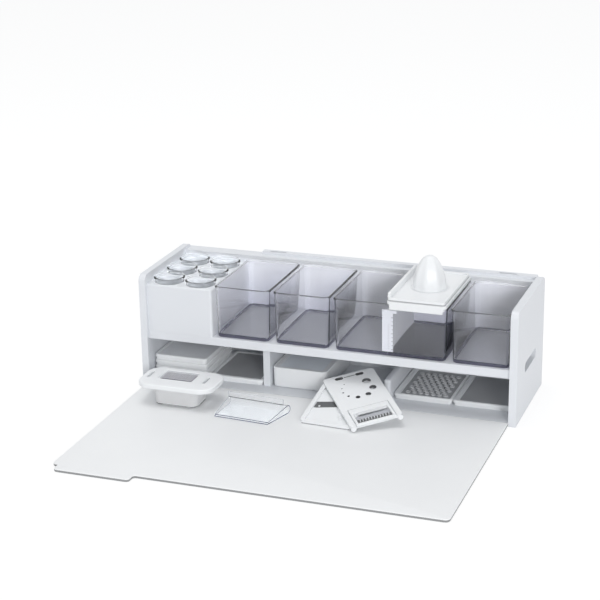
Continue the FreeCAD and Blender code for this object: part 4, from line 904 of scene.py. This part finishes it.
def milky_cup():
    rect, low, high = span("grater_cup", GRATER_CUP_CORNER)
    foot, wall = GRATER_CUP_FOOT, GRATER_CUP_WALL
    corners = (
        (GRATER_CUP_FLOOR_IN, low, 0), (foot, low, 2.5 * MM), (GRATER_CUP_TAPER, low + 5 * MM, 0),
        (0, high, 0.6 * MM), (wall, high, 0.6 * MM), (foot + wall, low + wall, 3 * MM),
        (GRATER_CUP_FLOOR_IN, low + wall, 0))
    piece = dress(carried("grater_cup_shell", rect, corners), "grater_cup", material="cup_milky")
    piece.data.materials.append(finish["cup_clear"])
    for face in piece.data.polygons:
        if face.center.z < low + foot:
            face.material_index = 1


eased("grater_frame", 1.0 * MM, segments=3)
grater_rim()
hollow_shade()
milky_cup()
dress(rasp_plate("grater_plate"), "grater_plate", material="blade_light")

# %% [markdown]
# ## Slicers and the clear stand
# The two slicers lie on each other, the upper one across the lower one. Their CAD solids carry the
# rails, mouths and holes, and the scene adds the small things. Those are placed in each slicer's own
# axes, where its face is level, and a matrix then tilts them into the object's frame. The walls of
# the holes get a dark finish, because the shade in a real hole is deeper than a thin plate's here.

# %% Slicers
LOWER_PLACE = Vector((-4.5, -192.7, 5.2)) * MM
LOWER_YAW = math.radians(-3.0)
LOWER_TILT = math.radians(12.8)
UPPER_SHIFT = Vector((89.5, -7.0, 6.3)) * MM     # in the lower slicer's axes
UPPER_TURN = math.radians(39.0)
HOLE_FIELD = (12 * MM, 74 * MM, 52 * MM, 143 * MM)   # where the upper slicer's holes are
PAD_EDGE = 0.4 * MM
HOLE_WALL = 0.4          # a face whose normal rises less than this is a wall
SLOT = (33.5, 52.5, 135.6, 137.4, 0.8)
SLOT_LOW = 4.6 * MM
SLOT_HIGH = 5.05 * MM

LOWER = (Matrix.Translation(LOWER_PLACE) @ Matrix.Rotation(LOWER_YAW, 4, "Z")
         @ Matrix.Rotation(LOWER_TILT, 4, "X"))
UPPER = LOWER @ Matrix.Translation(UPPER_SHIFT) @ Matrix.Rotation(UPPER_TURN, 4, "Z")
BACK_TO_LEVEL = UPPER.inverted()


def highest(node, axes):
    """The node's top height in a slicer's own axes."""
    source = frame["nodes"][node]
    inverse = axes.inverted() @ source.matrix_world
    return max((inverse @ vert.co).z for vert in source.data.vertices)


def small_parts(name, axes, rects, low, high, node, material):
    """Little rounded pads on a slicer. Each rect is (x0, x1, y0, y1, radius) in millimetres."""
    pads = []
    for rect in rects:
        rect = [value * MM for value in rect]
        middle = rect[4] * 0.9
        cut = min(PAD_EDGE, (high - low) / 3)
        section = ((middle, low, 0), (0, low, 0), (0, high, cut), (middle, high, 0))
        pads.append(carried("pad", rect, section, steps=5))
    piece = joined(name, pads)
    piece.data.transform(axes)
    return trim(piece, node, material)


eased("slicer_base", 0.8 * MM, segments=3)
upper = eased("slicer_top", 0.35 * MM)
upper.data.materials.append(finish["blade_dark_and_shade"])
hole_x0, hole_x1, hole_y0, hole_y1 = HOLE_FIELD
for face in upper.data.polygons:
    middle = BACK_TO_LEVEL @ face.center
    side_on = abs((BACK_TO_LEVEL.to_3x3() @ face.normal).z) < HOLE_WALL
    if side_on and hole_x0 < middle.x < hole_x1 and hole_y0 < middle.y < hole_y1:
        face.material_index = 1
# a dark strip of painted shade where the narrow slot lies in the upper slicer
small_parts("slot_shade", UPPER, [SLOT], SLOT_LOW, SLOT_HIGH, "slicer_top", "blade_dark_and_shade")
eased("blade_holder", 0.5 * MM)
eased("slicer_foot", 0.5 * MM)
eased("slicer_base_blade", 0.1 * MM).data.materials[0] = finish["blade_dark_and_shade"]
eased("straight_blade", 0.1 * MM)
print("dark faces in the upper slicer:", sum(face.material_index for face in upper.data.polygons))

# %% [markdown]
# The julienne blade is a dark strip whose teeth catch the light, so the teeth are white, a painted
# highlight. Teeth and strip could be two pieces, but one mesh can carry both finishes, and a face
# is a tooth's if its middle is above the strip.

# %% Blades and knobs
STRIP_TOP = 3.0 * MM
RIVET_PLACE = (15.2, 46.6)
RIVET_R = 1.8
RIVET_HIGH = 0.3 * MM
KNOB_PLACES = ((52, 41), (58, 34), (61, 19), (74, 17))
KNOB_R = 2.0
KNOB_HIGH = 1.5 * MM     # above the rails
DECK_TOP = 3.0 * MM      # the lower slicer's deck, where the knobs stand
# a thin grey band of painted shade under the lower slicer's front lip
LIP_SHADE_RECT = (2.5, 83.5, -0.12, 3.0, 1.2)
LIP_SHADE_LOW = 0.1 * MM
LIP_SHADE_HIGH = 1.5 * MM

toothed = eased("toothed_blade", 0.1 * MM)
toothed.data.materials[0] = finish["blade_dark_and_shade"]
toothed.data.materials.append(finish["tool_white"])
# faces above the strip take white, the painted highlight on the teeth
for face in toothed.data.polygons:
    if (BACK_TO_LEVEL @ face.center).z > STRIP_TOP:
        face.material_index = 1


def disc(x, y, radius):
    return (x - radius, x + radius, y - radius, y + radius, radius)


blade_top = highest("slicer_base_blade", LOWER)
small_parts("blade_rivet", LOWER, [disc(*RIVET_PLACE, RIVET_R)], blade_top, blade_top + RIVET_HIGH,
            "slicer_base_blade", "tool_white")
rail_top = highest("slicer_base", LOWER)
knobs = [disc(x, y, KNOB_R) for x, y in KNOB_PLACES]
small_parts("slicer_knobs", LOWER, knobs, DECK_TOP, rail_top + KNOB_HIGH, "slicer_base", "tool_white")
# the painted shade under the lower slicer's front lip
small_parts("slicer_lip_shade", LOWER, [LIP_SHADE_RECT], LIP_SHADE_LOW, LIP_SHADE_HIGH, "slicer_base", "insert_grey")
print("rivet and", len(knobs), "knobs")

# %% [markdown]
# The clear stand is one bent sheet. Its cut edges gather the light that runs inside the sheet and
# look dark blue, so the narrow faces get a deeper tint than the broad ones.

# %% Clear stand
FRONT_EDGE = 9.0 * MM    # the front edge's faces lie no further back than this, as the sheet is turned
FACES_FRONT = 0.6        # the least share of a normal that points forwards, or sideways
FACES_SIDE = 0.8

stand = eased("clear_stand", 0.35 * MM, segments=3)
stand.data.materials.append(finish["stand_edge"])
front_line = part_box("clear_stand")[0][1] + FRONT_EDGE
for face in stand.data.polygons:
    at_front = face.normal.y < -FACES_FRONT and face.center.y < front_line
    if at_front or abs(face.normal.x) > FACES_SIDE:
        face.material_index = 1
print("edge faces of the stand:", sum(face.material_index for face in stand.data.polygons))

# %% [markdown]
# ## The divider's scale
# The wide bin's divider carries a white strip with graduations at its right edge and a fine column
# of printed marks beside them. They are thin raised bars, so they stay on the mesh in any viewer.

# %% Divider and scale
NOTCHES = 9
PRINTS = 16
MARK_HIGH = 0.12 * MM    # how far a mark stands out, front to back
SHORT_SHARE = 0.75       # every second mark is shorter


def scale_marks(name, count, right, length, thick, low_in, high_in, material):
    """A column of level bars on the strip's front."""
    low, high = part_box("bin_divider")
    bottom, top = low[2] + low_in, high[2] - high_in
    mesh = bmesh.new()
    for i in range(count):
        z = bottom + (top - bottom) * i / (count - 1)
        long = length * (1.0 if i % 2 == 0 else SHORT_SHARE)
        bar = bmesh.ops.create_cube(mesh, size=1.0)["verts"]
        bmesh.ops.scale(mesh, vec=(long, MARK_HIGH, thick), verts=bar)
        bmesh.ops.translate(mesh, vec=(low[0] + right - long / 2, low[1], z), verts=bar)
    trim(as_object(name, mesh), "bin_divider", material)


eased("bin_divider", 0.3 * MM).data.materials[0] = finish["housing_white"]
scale_marks("scale_notches", NOTCHES, 18.0 * MM, 2.4 * MM, 1.1 * MM, 8 * MM, 12 * MM, "mark_ink")
scale_marks("scale_prints", PRINTS, 12.5 * MM, 3.6 * MM, 0.7 * MM, 10 * MM, 24 * MM, "insert_mid")
print("graduations", NOTCHES, "prints", PRINTS)

# %% [markdown]
# ## Small hardware
# The rubber feet are seen from below and the screws from behind, and the hinge pins hide inside the
# board's edge. All are small and plain, so eased copies of the CAD nodes are enough.

# %% Small hardware
for node, width in (("feet", 0.3), ("housing_screws", 0.25), ("hinge_pins", 0.1)):
    eased(node, width * MM)
print("all nodes dressed")
